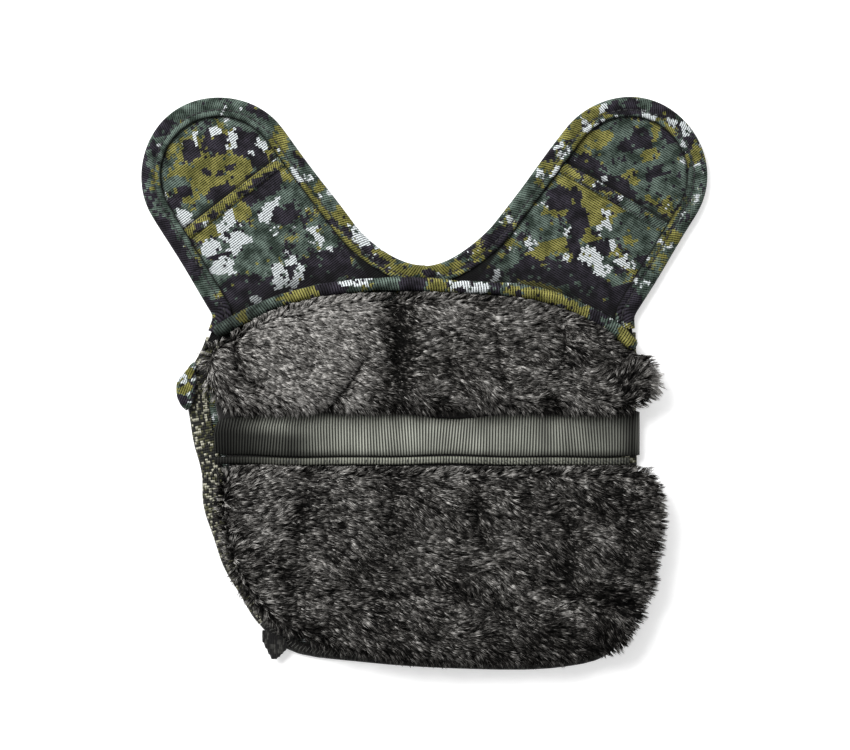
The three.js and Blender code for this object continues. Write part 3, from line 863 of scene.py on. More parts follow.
right_print = [
    ("green", 104, 110, 22, 20, -34), ("mustard", 86, 122.4, 8, 4.5, 20),
    ("mustard", 112.5, 115, 5, 3.6, 15), ("mustard", 116, 126.4, 2, 4.5, 0),
    ("mustard", 104.7, 103.7, 3.5, 3.8, 0), ("mustard", 79.5, 114.2, 4, 2.4, 20),
    ("mustard", 115.2, 92.3, 4, 3, 0), ("dark", 109, 123, 5, 5, 0), ("dark", 123, 125.4, 3.6, 4.5, 0),
    ("dark", 84, 109.5, 9, 3.6, -30), ("dark", 96.5, 99, 10, 4.5, -30), ("dark", 108, 89, 9, 3.6, -30),
    ("dark", 117, 104, 5, 4.5, 0), ("green", 99.8, 114, 9, 5, 0), ("green", 120, 98.8, 7, 5, 20),
    ("white", 90.6, 102.4, 1.7, 1.4, 0), ("dark", 101, 119, 4, 3, 0), ("mustard", 86, 92, 20, 7, -31),
    ("mustard", 84, 79.3, 7, 8, 0), ("mustard", 66, 86.6, 6, 3, 15), ("green", 62.4, 77.6, 8, 6, 0),
    ("mustard", 65, 68.7, 9, 3.4, 15), ("mustard", 55, 63.5, 8, 3, 20), ("green", 109, 77, 12, 11, -20),
    ("dark", 68, 93.1, 6, 5.5, -20), ("dark", 76, 94.7, 3, 3, 0), ("dark", 77.5, 82, 4.2, 8.5, 10),
    ("dark", 75.4, 69.5, 3.2, 7, 10), ("dark", 88.4, 68.5, 5, 3.6, 0), ("dark", 86, 76, 3, 1.6, 0),
    ("white", 90.5, 79, 3, 4.5, 10), ("green", 90.6, 75.5, 1.8, 1.8, 0), ("white", 94.3, 69, 1.3, 2.2, 0),
    ("white", 83.5, 64, 5, 4, -20), ("white", 89, 57.5, 4.5, 4, -30), ("green", 92.5, 61, 2, 1.6, 0),
    ("white", 99.8, 61.5, 3.2, 2.8, -20), ("white", 91.3, 85.6, 3, 1.1, -10),
    ("mustard", 103, 71, 3, 2.4, 0), ("dark", 68, 55, 14, 5, 10), ("dark", 86, 46, 18, 6.5, -30),
    ("dark", 100, 41, 8, 8, -20), ("dark", 50, 57, 9, 5, 20), ("white", 52, 70, 1.6, 1.2, 0),
    ("dark", 30, 54, 10, 4, 10), ("green", 44, 62, 7, 3, 30), ("white", 36, 54, 1.4, 3, -20),
    ("mustard", 60, 48, 10, 1.6, -15),
]


def lobe_shade(side):
    """Cloth that runs down under the roll, or lies beside a binding, is in shadow."""

    def shade(at):
        uv = in_lobe(side, at[:, :2])
        above = at[:, 1] - np.interp(at[:, 0], roll_line[:, 0], roll_line[:, 1])
        low = 0.22 + 0.78 * smooth_step((above - 1) / ROLL_SHADOW[side])
        u, v = np.abs(uv[:, 0]), uv[:, 1]
        beside = np.where(v < TIP_V, lobe_width(v, 10) - u, TIP_RADIUS - 10 - np.hypot(u, v - TIP_V))
        beside = 0.06 + 0.94 * smooth_step((beside + 0.5) / 2.0)
        # Painted shadow on the lining just past each pocket's mouth, under its welt.
        past_mouth = v - mouth_height(uv[:, 0]) - 0.6
        under_mouth = 1 - 0.8 * np.exp(-((past_mouth / MOUTH_SHADOW[side]) ** 2))
        return low * beside * np.where(at[:, 2] < 4.0, under_mouth, 1)

    return shade


def fold_reach(name, reach):
    """Where cloth starts and ends to turn about a fold, as blend takes them."""
    middle, _, up = joint_frame(name)
    start, end = (middle - up * reach) * MM, (middle + up * reach) * MM
    return {"start": (*start, 0), "end": (*end, 0)}


def cloth_width(v):
    return lobe_width(v, CLOTH_INSET)


lobe_fold = {}
tip_fold = {}
for side, label, prints in ((-1, "left", left_print), (1, "right", right_print)):
    lobe, tip = f"{label}_lobe", f"{label}_tip"
    lobe_fold[side] = fold_reach(f"{lobe}_fold", FOLD_REACH)
    tip_fold[side] = fold_reach(f"{tip}_fold", TIP_FOLD_REACH)
    outer = free_edge if side > 0 else free_edge[::-1]
    outer_low = outer[in_lobe(side, outer)[:, 1] >= LOBE_SPLIT]
    inner = notch[::-1] if side > 0 else notch
    inner_low = inner[in_lobe(side, inner)[:, 1] >= LOBE_SPLIT]
    low = {side: in_lobe(side, outer_low), -side: in_lobe(side, inner_low)}
    back_sides = {s: np.vstack([low[s], [[s * cloth_width(MID_V), MID_V]]]) for s in (-1, 1)}
    back_edges = spread(
        np.array([low[-1][0], low[1][0]]),
        back_sides[1],
        np.array([back_sides[-1][-1], back_sides[1][-1]]),
        back_sides[-1],
    )
    tip_edges = tip_patch(back_sides[-1][-1], back_sides[1][-1], CLOTH_INSET)

    for name, bodies, fold, edges, rows, measures in (
        (lobe, ("body", lobe), lobe_fold[side], back_edges, 40, {"flat": (0.084, 0.033)}),
        (tip, (lobe, tip), tip_fold[side], tip_edges, 60, {"flat": (0.082, 0.071), "area": 0.0052}),
    ):

        def back_cloth(u, v):
            uv = edges(u, v)
            flat = from_lobe(side, uv[:, 0], uv[:, 1])
            return np.column_stack([flat, SHELL_TOP - 0.35 + billow(flat + 31, 0.45)]), flat

        back = grid(f"{name}_back_cloth", 60, rows, back_cloth)
        print_on(back, [])
        solidify(back, CLOTH)
        dressed(back, camo_cloth, "camo_twill")
        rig.blend(back, *bodies, **fold)
        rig.replaces(back, f"{name}_back")
        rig.sheet(back, held="stretched", **measures)

    lining_corner = cloth_width(LINING_LOW)
    lining_edges = tip_patch([-lining_corner, LINING_LOW], [lining_corner, LINING_LOW], CLOTH_INSET)

    def pocket_lining(u, v):
        uv = lining_edges(u, v)
        flat = from_lobe(side, uv[:, 0], uv[:, 1])
        hollow = 0.35 * np.exp(-(((uv[:, 1] - mouth_height(uv[:, 0]) - 4) / 12) ** 2))
        crown = 0.8 * smooth_step((uv[:, 1] - MOUTH_V - 6) / 22)
        crown *= smooth_step((LOBE_LENGTH - 10 - uv[:, 1]) / 18)
        crown *= smooth_step((lobe_width(uv[:, 1], 10) - np.abs(uv[:, 0])) / 16)
        return np.column_stack([flat, LINING_TOP - hollow + crown]), uv + (90, 0)

    lining = grid(f"{label}_ear_pocket_lining", 150, 165, pocket_lining)
    print_on(lining, prints, lobe_shade(side))
    solidify(lining, CLOTH * 0.7)
    dressed(lining, camo_cloth, "camo_twill")
    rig.blend(lining, lobe, tip, **tip_fold[side])
    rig.replaces(lining, f"{label}_pocket_lining", f"{label}_tip_lining")
    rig.sheet(lining, flat=(0.08, 0.08), held="stretched", area=0.0061)

    roll_half = roll_line[roll_line[:, 0] * side >= 0][::side]
    tucked = outset(roll_half, TUCK * side)
    tucked = tucked[np.abs(tucked[:, 0]) < 101]
    foot = np.array([[0, tucked[0][1]]])
    notch_half = inner[inner[:, 0] * side >= 0]
    outer_body = outer[in_lobe(side, outer)[:, 1] > in_lobe(side, tucked[-1:])[0, 1]]
    ends = {}
    for s in (-1, 1):
        v = mouth_height(s * 38)
        ends[s] = [s * cloth_width(v), v - 0.3]
    hem_line = in_lobe(side, np.vstack([foot, tucked]))[::side]
    up = {
        -side: np.vstack([in_lobe(side, foot), in_lobe(side, notch_half), [ends[-side]]]),
        side: np.vstack([in_lobe(side, tucked[-1:]), in_lobe(side, outer_body), [ends[side]]]),
    }
    front_edges = spread(hem_line, up[1], np.array([ends[-1], ends[1]]), up[-1])

    def front_cloth(u, v):
        uv = front_edges(u, v)
        flat = from_lobe(side, uv[:, 0], uv[:, 1])
        body_part = smooth_step((-uv[:, 1] - 2) / 10)
        height = front_height(side, uv) * (1 - body_part) + (FRONT_TOP - 0.3) * body_part
        return np.column_stack([flat, height]), uv

    front = grid(f"{label}_lobe_front_cloth", 185, 185, front_cloth)
    print_on(front, prints, lobe_shade(side))
    solidify(front, CLOTH * 0.7)
    dressed(front, camo_cloth, "camo_twill")
    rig.blend(front, "body", lobe, **lobe_fold[side])
    if side < 0:
        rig.replaces(front, "left_lobe_front", "neck_facing")
    else:
        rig.replaces(front, "right_lobe_front")
    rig.sheet(front, flat=(0.115, 0.095), held="stretched", area=0.0065)

# ---- Pocket welts ---------------------------------------------------------------------------------
# The pocket's mouth is turned under twice in a strip of the same twill and sewn down with two
# rows of dark thread, which leaves a raised welt between the two bindings.

WELT_WIDTH = 6
WELT_INSET = 10.2  # its ends lie under the bindings' edges, this far in from the lobe's edge
WELT_RISE = 1.35
WELT_ROWS = (1.1, 4.9)  # stitch rows, measured down from the mouth
STITCH_PITCH = 3.2  # of the bindings' topstitching, which lies beside the welts
WELT_STITCH_PITCH = 2.9

dark_thread = thread("dark_thread", (0.004, 0.004, 0.005), (0.016, 0.016, 0.018), 0.6, 0.2)


welt_print = [
    ("mustard", -97, 91, 32, 22, 0), ("dark", -112.5, 78.6, 1.6, 2.2, 30),
    ("white", -109, 80.4, 1.6, 1.0, 30), ("dark", -104.8, 84.8, 2.4, 1.3, 30),
    ("dark", -97, 88.6, 1.5, 2, 30), ("dark", -90, 96, 3.4, 1.6, 34), ("white", -91.5, 91.2, 1.0, 1.2, 0),
    ("dark", -82, 101.5, 3.4, 2.4, 30), ("dark", -74, 104, 3, 3, 0), ("mustard", 72, 108, 7, 7, 0),
    ("dark", 79, 105.4, 2.2, 1.4, -30), ("mustard", 83, 103, 3, 3, 0),
    ("white", 88.4, 100.4, 2.0, 1.1, -30), ("dark", 93, 97.6, 3.4, 2.6, 0),
    ("mustard", 98.5, 95.6, 2.2, 1.2, -30), ("green", 105, 90.4, 6, 4, 0),
    ("dark", 108.4, 90.4, 1.8, 1.2, 0), ("green", 116, 83, 6, 6, 0),
    ("mustard", 112.6, 84.4, 1.8, 1.2, -30), ("white", 84.6, 99.6, 1.0, 0.9, 0),
]
camo_strip = camouflage("camouflage_binding", 68, 1.1, 0.9, 1.6)
for side, label in ((-1, "left"), (1, "right")):

    def welt(u, v):
        down = (1 - v) * WELT_WIDTH
        lobe_u = (2 * u - 1) * lobe_width(MOUTH_V, WELT_INSET)
        uv = np.column_stack([lobe_u, mouth_height(lobe_u) - down])
        rise = WELT_RISE * (1 - np.abs(down / 3 - 1) ** 5)
        for row in WELT_ROWS:
            puckered = 0.75 + 0.25 * np.cos(lobe_u * 2 * math.pi / STITCH_PITCH)
            rise -= 0.45 * puckered * np.exp(-(((down - row) / 0.42) ** 2))
        lip = -1.1 * np.clip(1 - down / 0.5, 0, 1)
        height = front_height(side, uv) + 0.1 + rise + lip
        return np.column_stack([from_lobe(side, uv[:, 0], uv[:, 1]), height]), uv + (0, 60)

    strip = grid(f"{label}_pocket_welt", 160, 30, welt)
    print_on(strip, welt_print)
    solidify(strip, 0.9)
    dressed(strip, camo_strip, "camo_binding")
    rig.ride(strip, f"{label}_lobe")
    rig.replaces(strip, f"{label}_pocket_hem")
    for number, row in enumerate(WELT_ROWS):
        short = lobe_width(MOUTH_V, WELT_INSET + 0.3) / lobe_width(MOUTH_V, WELT_INSET)
        u = np.linspace(0.5 - short / 2, 0.5 + short / 2, 160)
        line, _ = welt(u, 0 * u + 1 - row / WELT_WIDTH)
        line += (0, 0, 0.12)
        seam = stitches(f"{label}_welt_stitches_{number + 1}", line, dark_thread, pitch=WELT_STITCH_PITCH)
        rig.ride(seam, f"{label}_lobe")

# ---- Edge bindings ------------------------------------------------------------------------------
# Bias-cut camouflage twill, 10 mm wide, folded over the raw edges from the notch round each lobe
# and topstitched 6.7 mm in with dark thread, which draws a groove between two soft ridges.

STITCH_IN = 6.7
BINDING_UPPER = 3.4  # what is higher than this is its upper side
BINDING_IN = 10.3  # the shadow at the binding's foot lies this far in
BINDING_SECTION = [(10, 0.7), (9.6, 0.15), (8.8, 0), (3, 0), (1.2, 0.45), (0.3, 1.4), (0, 2.7), (0.25, 3.9),
                   (1.1, 5.0), (2.5, 5.55), (4.2, 5.55), (5.6, 5.2), (6.3, 4.85), (STITCH_IN, 4.7),
                   (7.1, 4.85), (7.9, 5.25), (8.9, 5.3), (9.7, 5.0), (10.05, 4.45), (9.9, 4.2)]
groove_share = length_along(np.array(BINDING_SECTION, float))
groove_share = groove_share[BINDING_SECTION.index((STITCH_IN, 4.7))] / groove_share[-1]
binding_print = [
    ("green", -106, 110, 38, 38, 0), ("dark", -141, 108, 2.5, 12, 0), ("dark", -84, 137, 6, 2.5, -30),
    ("mustard", -72.5, 121, 4, 7, 0), ("mustard", -134, 104, 1.2, 3, 0), ("dark", -135, 118, 2, 3, 0),
    ("dark", -130.7, 128, 5, 4, 40), ("white", -99.8, 138.4, 1, 3, -30),
    ("white", -92, 137.6, 0.9, 0.9, 0), ("white", -133.1, 119.9, 1.2, 1.2, 0),
    ("mustard", -136.4, 98, 1.3, 2.4, 0), ("dark", -138, 93, 3, 4, 0), ("dark", -130, 76, 4, 9, 30),
    ("dark", -125, 68, 4, 6, 35), ("dark", -117.7, 58, 4, 8, 35), ("green", -109.5, 48, 5, 6, 30),
    ("dark", -104, 34, 7, 9, 20), ("mustard", -72.1, 125.6, 1.8, 3, 30),
    ("dark", -62.4, 113.2, 4, 2.6, -50), ("mustard", -61.6, 116, 2.2, 2.6, 0),
    ("mustard", -68.5, 110, 3, 1.2, -50), ("white", -65, 106.2, 2.6, 1.4, -50),
    ("white", -62.3, 102.6, 2, 1.6, -50), ("white", -73, 116, 1.5, 1, -50), ("green", -55, 110, 4, 4, 0),
    ("mustard", -53.4, 98.2, 2.6, 2.2, 0), ("white", -47.3, 95.6, 1.2, 1.2, 0),
    ("mustard", -52.6, 88, 13, 2.0, -53), ("mustard", -40.6, 83.5, 5.5, 3.2, -50),
    ("dark", -44, 78.5, 4, 2, -50), ("dark", -38.6, 75, 4, 2.4, -45),
    ("mustard", -37, 69.5, 13, 1.4, -43), ("white", -31.2, 73.4, 6.5, 3.4, -42),
    ("dark", -26.6, 67.8, 3, 2.6, 0), ("white", -22.8, 67, 2, 1.8, 0),
    ("mustard", -19.5, 63, 5, 2.2, -35), ("dark", -20.6, 59.6, 7, 2.2, -32),
    ("white", -14.6, 58.2, 3.5, 1.4, 15), ("mustard", -3, 57, 14, 3.2, 0),
    ("dark", 2.7, 55.4, 1.9, 1.8, 0), ("dark", 8.2, 56.2, 1.2, 1.2, 0),
    ("mustard", 16.6, 58.4, 8, 2.8, 18), ("dark", 24.6, 61, 4.5, 2.2, 30),
    ("mustard", 28.4, 65, 5, 2, 38), ("dark", 37.2, 71, 9, 5.2, 48), ("white", 43.4, 68, 0.9, 3.6, 0),
    ("white", 39.6, 64.2, 4, 1.2, 25), ("mustard", 32, 60.2, 7, 1.3, 33),
    ("white", 25.7, 55.2, 3, 1.3, 25), ("mustard", 19.4, 52.4, 4, 1.1, 20),
    ("white", 43.3, 81.8, 1.8, 1.8, 0), ("white", 51, 77.4, 3.6, 1.9, 55),
    ("green", 50.6, 94, 4, 10, -30), ("white", 59.1, 88.6, 1.1, 1.9, 0),
    ("white", 60.8, 93.5, 1.5, 1.3, 0), ("mustard", 58.3, 100.4, 1.6, 1.6, 0),
    ("white", 58.9, 106, 2.4, 1.4, 20), ("white", 65.4, 106.4, 2.6, 1.8, 60),
    ("mustard", 61.8, 109.4, 3, 3.4, 0), ("dark", 62.6, 114, 2.6, 2.6, 0),
    ("white", 68.2, 119, 2, 1.3, 0), ("white", 69.5, 113.8, 1.3, 1.6, 0),
    ("mustard", 74, 126.2, 3.6, 6, -40), ("mustard", 78.7, 121.2, 6, 1.7, 45),
    ("white", 86.8, 128.4, 4, 1.4, 38), ("white", 81.2, 129.3, 1.8, 2.6, 0),
    ("mustard", 84.3, 135.8, 5, 2.4, 32), ("white", 90, 138, 2, 2, 0),
    ("mustard", 91.8, 134.8, 2, 1.8, 0), ("dark", 101.4, 138.2, 9, 3.2, 5),
    ("white", 97.8, 133, 2, 1.1, 25), ("green", 111, 139.8, 3.4, 2, 0),
    ("white", 113.6, 133.6, 3, 1.2, -8), ("dark", 119.6, 137, 6, 3.4, -30),
    ("white", 124, 129.4, 3, 1.5, -42), ("white", 131.3, 127, 1.8, 3.6, 25),
    ("white", 130.5, 119.9, 1.3, 2.2, 0), ("dark", 133, 122, 2, 2, 0),
    ("mustard", 136.2, 114.2, 1.9, 5.6, 0), ("white", 136.6, 108.9, 1.4, 1.1, 0),
    ("mustard", 131.4, 112.4, 1.3, 3.2, 0), ("green", 134.5, 101, 4, 8, -10),
    ("mustard", 124.4, 83.5, 1.8, 5, -28), ("mustard", 124.2, 72.8, 3.6, 2.6, 0),
    ("white", 118.4, 71.2, 1.4, 1.3, 0), ("mustard", 119.3, 64.4, 3, 1.6, -30),
    ("white", 111.4, 64, 1.4, 1.4, 0), ("mustard", 104.2, 55, 1.5, 2.8, 0),
    ("white", 105.6, 53, 0.9, 2.8, 0), ("dark", 102, 41, 6, 9, 0),
]


def groove_shade(line):
    """The stitched groove and the foot of a binding are in shadow."""

    def shade(at):
        inward = np.concatenate([
            np.min(np.linalg.norm(part[:, None, :2] - line[None, ::2], axis=2), axis=1)
            for part in np.array_split(at, max(len(at) // 4000, 1))
        ])
        dark = 0.45 * np.exp(-(((inward - STITCH_IN) / 0.5) ** 2))
        dark += 0.88 * np.exp(-(((inward - BINDING_IN) / 0.8) ** 2))
        return 1 - dark * (at[:, 2] > BINDING_UPPER)

    return shade


def lobe_edge_line(side):
    """The cloth's edge from the middle of the notch, round the lobe, to below the outer fold end."""
    inner = notch[::-1] if side > 0 else notch
    inner = inner[inner[:, 0] * side >= (-1.2 if side < 0 else 0)]
    outer = free_edge if side > 0 else free_edge[::-1]
    outer = outer[in_lobe(side, outer)[:, 1] >= -6][::-1]
    lean = math.degrees(lobe_side(CLOTH_INSET)[3])
    heights = np.linspace(1, TIP_V, 60)
    arc = tip_arc(CLOTH_INSET, lean, 180 - lean, 90)
    widths = lobe_width(heights, CLOTH_INSET)
    up = np.column_stack([-side * widths, heights])
    down = np.column_stack([side * widths, heights])[::-1]
    round_tip = arc if side < 0 else arc[::-1]
    lobe = np.vstack([up, round_tip, down])
    return np.vstack([inner, from_lobe(side, lobe[:, 0], lobe[:, 1]), outer])


for side, label in ((-1, "left"), (1, "right")):
    whole = dense(lobe_edge_line(side), 0.8)
    for _ in range(4):
        whole[1:-1] = (whole[:-2] + 2 * whole[1:-1] + whole[2:]) / 4
    whole = outset(whole, CLOTH_INSET, -side)
    height = in_lobe(side, whole)[:, 1]
    above = np.flatnonzero(height >= MID_V)
    lead = length_along(whole)

    def pucker(along, s, z):
        stitch = along * 2 * math.pi / STITCH_PITCH
        drawn = 0.14 * (1 + np.cos(stitch)) * np.exp(-(((s - STITCH_IN) / 0.8) ** 2))
        wave = 0.16 * np.sin(along / 6.1 + side) + 0.1 * np.sin(along / 2.7)
        gathered = 0.1 * np.sin(stitch + 0.6) * np.exp(-(((s - 8.6) / 1.2) ** 2))
        z = z + (z > BINDING_UPPER) * (wave + gathered - drawn)
        return s + 0.2 * np.sin(along / 9 + side) * (s < 5), z

    lobe, tip = f"{label}_lobe", f"{label}_tip"
    for name, first, last, bodies, fold in (
        ("inner", 0, above[0] + 1, ("body", lobe), lobe_fold[side]),
        ("tip", above[0], above[-1] + 1, (lobe, tip), tip_fold[side]),
        ("outer", above[-1], len(whole), ("body", lobe), lobe_fold[side]),
    ):
        run = whole[first:last]
        start = lead[first]

        def ripple(along, s, z):
            return pucker(along + start, s, z)

        piece = bound(f"{label}_{name}_edge_binding", run, -side, BINDING_SECTION, 0.7, 0.42, ripple, 44)
        print_on(piece, binding_print, groove_shade(whole[max(first - 12, 0) : last + 12]))
        dressed(piece, camo_strip, "camo_binding")
        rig.blend(piece, *bodies, **fold)
        more = ["neck_binding"] if (name, side) == ("inner", -1) else []
        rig.replaces(piece, f"{label}_{name}_binding", *more)
        place, reach = sweep(run, -side, BINDING_SECTION, ripple)
        u = np.linspace(0, 1, int(reach / 0.6))
        line, _ = place(u, 0 * u + groove_share)
        line += (0, 0, 0.2)
        seam = stitches(f"{label}_{name}_topstitching", line, dark_thread, width=0.85, lead=start)
        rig.blend(seam, *bodies, **fold)

# ---- Top edge roll ------------------------------------------------------------------------------
# The fur's upper edge is finished with a rolled strip of the printed cloth, ribbed across and
# sewn down over the facing between the lobes and the fur.

ROLL_HALF = 3.5
ROLL_HEIGHT = 9.2
ROLL_RIBS = 1.3
roll_print = [
    ("green", -98, 27, 8, 8, 0), ("mustard", -90, 31, 3, 6, 0), ("green", -80, 37, 7, 8, 0),
    ("mustard", -61, 44, 9, 3.4, 8), ("dark", -46, 47, 6.5, 6, 0), ("white", -33, 50.8, 7, 2.0, 5),
    ("green", -19, 49, 6.5, 6, 0), ("dark", -5.5, 49, 6, 6, 0), ("mustard", 7, 49.5, 5, 5, 0),
    ("white", 22, 48.2, 10, 2.9, -4), ("dark", 18, 46.4, 1.9, 1.3, 0), ("dark", 24, 48.9, 1.7, 1.4, 0),
    ("dark", 36, 47, 2.4, 6, 0), ("green", 39.6, 46, 1.6, 6, 0), ("mustard", 56, 44, 15, 2.8, -10),
    ("dark", 47.5, 44.5, 2.6, 1.6, 0), ("white", 74.5, 37.5, 1.8, 1.5, -30),
    ("mustard", 77, 37, 6, 3, -25), ("dark", 87, 32, 5, 5, 0), ("green", 93.5, 28, 4, 5, 0),
    ("mustard", 101, 23, 4, 5, 0),
]


def roll_surface(u, v):
    line = dense(roll_line, 0.8)
    line = line[(line[:, 0] > -104.6) & (line[:, 0] < 105.8)]
    way = np.gradient(line, axis=0)
    way /= np.linalg.norm(way, axis=1)[:, None]
    reach = length_along(line)
    along = u * reach[-1]
    at = np.column_stack([np.interp(along, reach, line[:, i]) for i in (0, 1)])
    across = np.column_stack([np.interp(along, reach, -way[:, 1]), np.interp(along, reach, way[:, 0])])
    turn = v * 2 * math.pi - math.pi / 2
    end = np.minimum(along, reach[-1] - along)
    round_end = np.sqrt(np.clip(1 - (1 - np.clip(end / 3.2, 0, 1)) ** 2, 0.0004, 1))
    full = 1 + 0.05 * np.sin(along / 7.7) + 0.035 * np.sin(along / 3.1 + 2)
    full += 0.02 * np.sin(along / 1.45 + turn)
    ribs = 0.1 * np.sin((along + 0.5 * turn) * 2 * math.pi / ROLL_RIBS)
    radius = (ROLL_HALF * 0.95 * full + ribs) * round_end
    drift = 0.35 * np.sin(along / 12.5 + 1)
    flat = at + across * (radius * np.cos(turn) + drift)[:, None]
    cloth = np.column_stack([along, turn * ROLL_HALF])
    return np.column_stack([flat, ROLL_HEIGHT + radius * np.sin(turn)]), cloth


roll = grid("rolled_top_edge", 1340, 30, roll_surface)
bpy.ops.object.mode_set(mode="EDIT")
bpy.ops.mesh.select_all(action="SELECT")
bpy.ops.mesh.remove_doubles(threshold=1e-5)
bpy.ops.mesh.normals_make_consistent(inside=False)
bpy.ops.object.mode_set(mode="OBJECT")
# Painted shade darkens the roll towards its left end.
print_on(roll, roll_print, lambda at: 0.42 + 0.58 * smooth_step((at[:, 0] + 97) / 36))
dressed(roll, camouflage("camouflage_roll", 80, ROLL_RIBS, 0.95, 1.3), "camo_binding")
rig.ride(roll, "body")
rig.replaces(roll, "top_edge_roll")

# ---- Fur panels ---------------------------------------------------------------------------------
# Two soft panels of warm grey pile, about 8 mm deep, lie above and below the breathing ribbon.
# Under the pile each is a padded cushion, drawn in at its sewn rim and along a few creases.

PILE = 7.4
CUSHION_DROP = 5.2
BETWEEN_FURS = -25  # the height on the mask that parts the upper fur from the lower
FUR_TOP_INSET = 0.4
LOWER_FUR_TOP = -41.5
LOWEST = 1.0  # no strand reaches lower than this
# painted light: how brightly light falls on the pile, as a shade's number, from left to right
UPPER_LIGHT = [(-112, 2.2), (-98, 2.5), (-85, 2.7), (-50, 3.2), (-28, 2.5), (-14, 1.5), (10, 1.95), (45, 2.0),
               (80, 1.6), (119, 1.7)]
LOWER_LIGHT = [(-105, 1.6), (-92, 1.95), (-60, 1.6), (-20, 1.55), (10, 1.7), (60, 1.4), (119, 1.15)]
# Six copies of one pile colour, from deep shade to full light: the copy each strand half takes paints light and shade
# as well as the pile's own uneven tone.
SHADES = ((0.0020, 0.0019, 0.0017), (0.0075, 0.0070, 0.0064), (0.036, 0.0340, 0.0315),
          (0.140, 0.134, 0.1250), (0.320, 0.308, 0.292), (0.54, 0.525, 0.50))
fur_shades = []
for number, colour in enumerate(SHADES):
    fur, shader, flat = new_material(f"pile_shade_{number + 1}", 0.85)
    shader.inputs["Specular IOR Level"].default_value = 0.08
    shader.inputs["Base Color"].default_value = (*colour, 1)
    fur_shades.append(fur)
# Painted shade: the base under the pile is near black, so the gaps between strands look dark.
painted_shade_backing, shader, flat = new_material("pile_backing", 1.0)
shader.inputs["Base Color"].default_value = (0.006, 0.0055, 0.005, 1)

# a crease is the line it follows, its half width and its depth
CREASES = [
    ([(-97, 27), (-96.5, 16), (-94, 8), (-88, 1.5), (-78, -2)], 2.4, 3.4),
    ([(-68, 33), (-60, 26), (-57, 16), (-60, 6)], 2.2, 0.9),
    ([(-31, 18), (-34.5, 9), (-40, 0), (-48, -8), (-55, -11)], 2.6, 3.2),
    ([(-19, 45), (-15.5, 28), (-16.5, 12), (-15, -10)], 7.0, 2.8),
    ([(30.5, 30), (33, 18), (35.5, 6), (40, -7)], 2.6, 2.2),
    ([(4, 30), (9, 18), (8, 2)], 2.4, 1.2),
    ([(62, 34), (66, 20), (64, 4)], 3.0, 1.6),
    ([(109, 21), (101, 17), (95, 9)], 3.0, 2.2),
    ([(84, 12), (92, 2), (98, -10)], 3.0, 1.8),
    ([(-17, -44), (-19, -63), (-15, -80)], 3.4, 1.9),
    ([(23, -46), (24, -68), (30, -84)], 4.0, 2.4),
    ([(-62, -56), (-66, -76), (-58, -94)], 3.4, 1.5),
    ([(64, -60), (70, -78), (66, -100)], 3.4, 1.6),
    ([(-50, -94), (-22, -104), (4, -98), (40, -108)], 3.0, 1.6),
    ([(66, -101), (84, -106), (108, -109)], 3.4, 3.0),
    ([(18, -124), (30, -112), (34, -96)], 3.0, 1.6),
    ([(-84, -84), (-70, -98), (-64, -116)], 3.2, 1.6),
    ([(92, -50), (97, -68), (94, -88)], 3.4, 1.6),
]


def crease_depth(flat):
    """How far the creases draw the pile down at each point, in millimetres."""
    deep = np.zeros(len(flat))
    for points, width, depth in CREASES:
        line = rounded(points, 10)
        away = np.linalg.norm(flat[:, None] - line[None], axis=2)
        reach = length_along(line)
        share = reach[np.argmin(away, axis=1)] / reach[-1]
        fading = np.clip(np.minimum(share, 1 - share) * 6, 0.4, 1)
        deep = np.maximum(deep, depth * fading * np.exp(-((away.min(axis=1) / width) ** 2)))
    return deep


def waves(flat, length, seed):
    """Smooth unevenness from -1 to 1, made of a few sines in seeded directions."""
    draw = np.random.default_rng(seed)
    total = np.zeros(len(flat))
    for _ in range(9):
        turn = draw.uniform(0, 2 * math.pi)
        phase = draw.uniform(0, 2 * math.pi)
        pitch = length * draw.uniform(0.6, 1.6)
        along = flat[:, 0] * math.cos(turn) + flat[:, 1] * math.sin(turn)
        total += np.sin(along * 2 * math.pi / pitch + phase)
    return total / 5


def plumped(piece, pressure, movement):
    """Inflates a pad as cloth for twenty frames, held to a movement, and smooths it once."""
    before = places(piece)
    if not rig.quick():
        cloth = piece.modifiers.new("cloth", "CLOTH")
        cloth.settings.use_pressure = True
        cloth.settings.uniform_pressure_force = pressure
        cloth.settings.effector_weights.gravity = 0
        cloth.settings.quality = 4
        for step in range(1, 21):
            bpy.context.scene.frame_set(step)
        bpy.ops.object.modifier_apply(modifier=cloth.name)
        bpy.context.scene.frame_set(1)
        moved = places(piece) - before
        length = np.linalg.norm(moved, axis=1)[:, None]
        moved *= np.minimum(1, movement / np.maximum(length, 1e-6))
        piece.data.vertices.foreach_set("co", ((before + moved) * MM).ravel())
    finer = piece.modifiers.new("finer", "SUBSURF")
    finer.levels = finer.render_levels = 1
    bpy.ops.object.modifier_apply(modifier=finer.name)
    at = places(piece)
    top = smooth_step((at[:, 2] - 7) / 4)
    at[:, 2] -= top * crease_depth(at[:, :2]) * 1.15
    at[:, 2] += top * waves(at[:, :2], 26, 5) * 0.55
    piece.data.vertices.foreach_set("co", (at * MM).ravel())
    piece.data.update()


def lie_of_pile(flat):
    """The way the pile lies, in degrees from the right, and how far it stands up."""
    x, y = flat[:, 0], flat[:, 1]
    upper = y > BETWEEN_FURS
    turn_above = -20 + 14 * np.clip((x + 20) / 60, 0, 1) - 16 * smooth_step((-90 - x) / 15)
    turn = np.where(upper, turn_above, 25 - 45 * np.clip((x + 100) / 60, 0, 1))
    tousle_above = 9 + 20 * smooth_step((x + 18) / 20) + 36 * smooth_step((x - 50) / 40)
    tousle = np.where(upper, tousle_above, 17 + 17 * smooth_step((x + 60) / 80))
    turn = turn + tousle * waves(flat, 30, 11) + 0.55 * tousle * waves(flat, 12, 12)
    lift = 0.42 + 0.18 * waves(flat, 22, 13) + 0.12 * waves(flat, 8, 14)
    return turn, np.clip(lift, 0.2, 0.9)


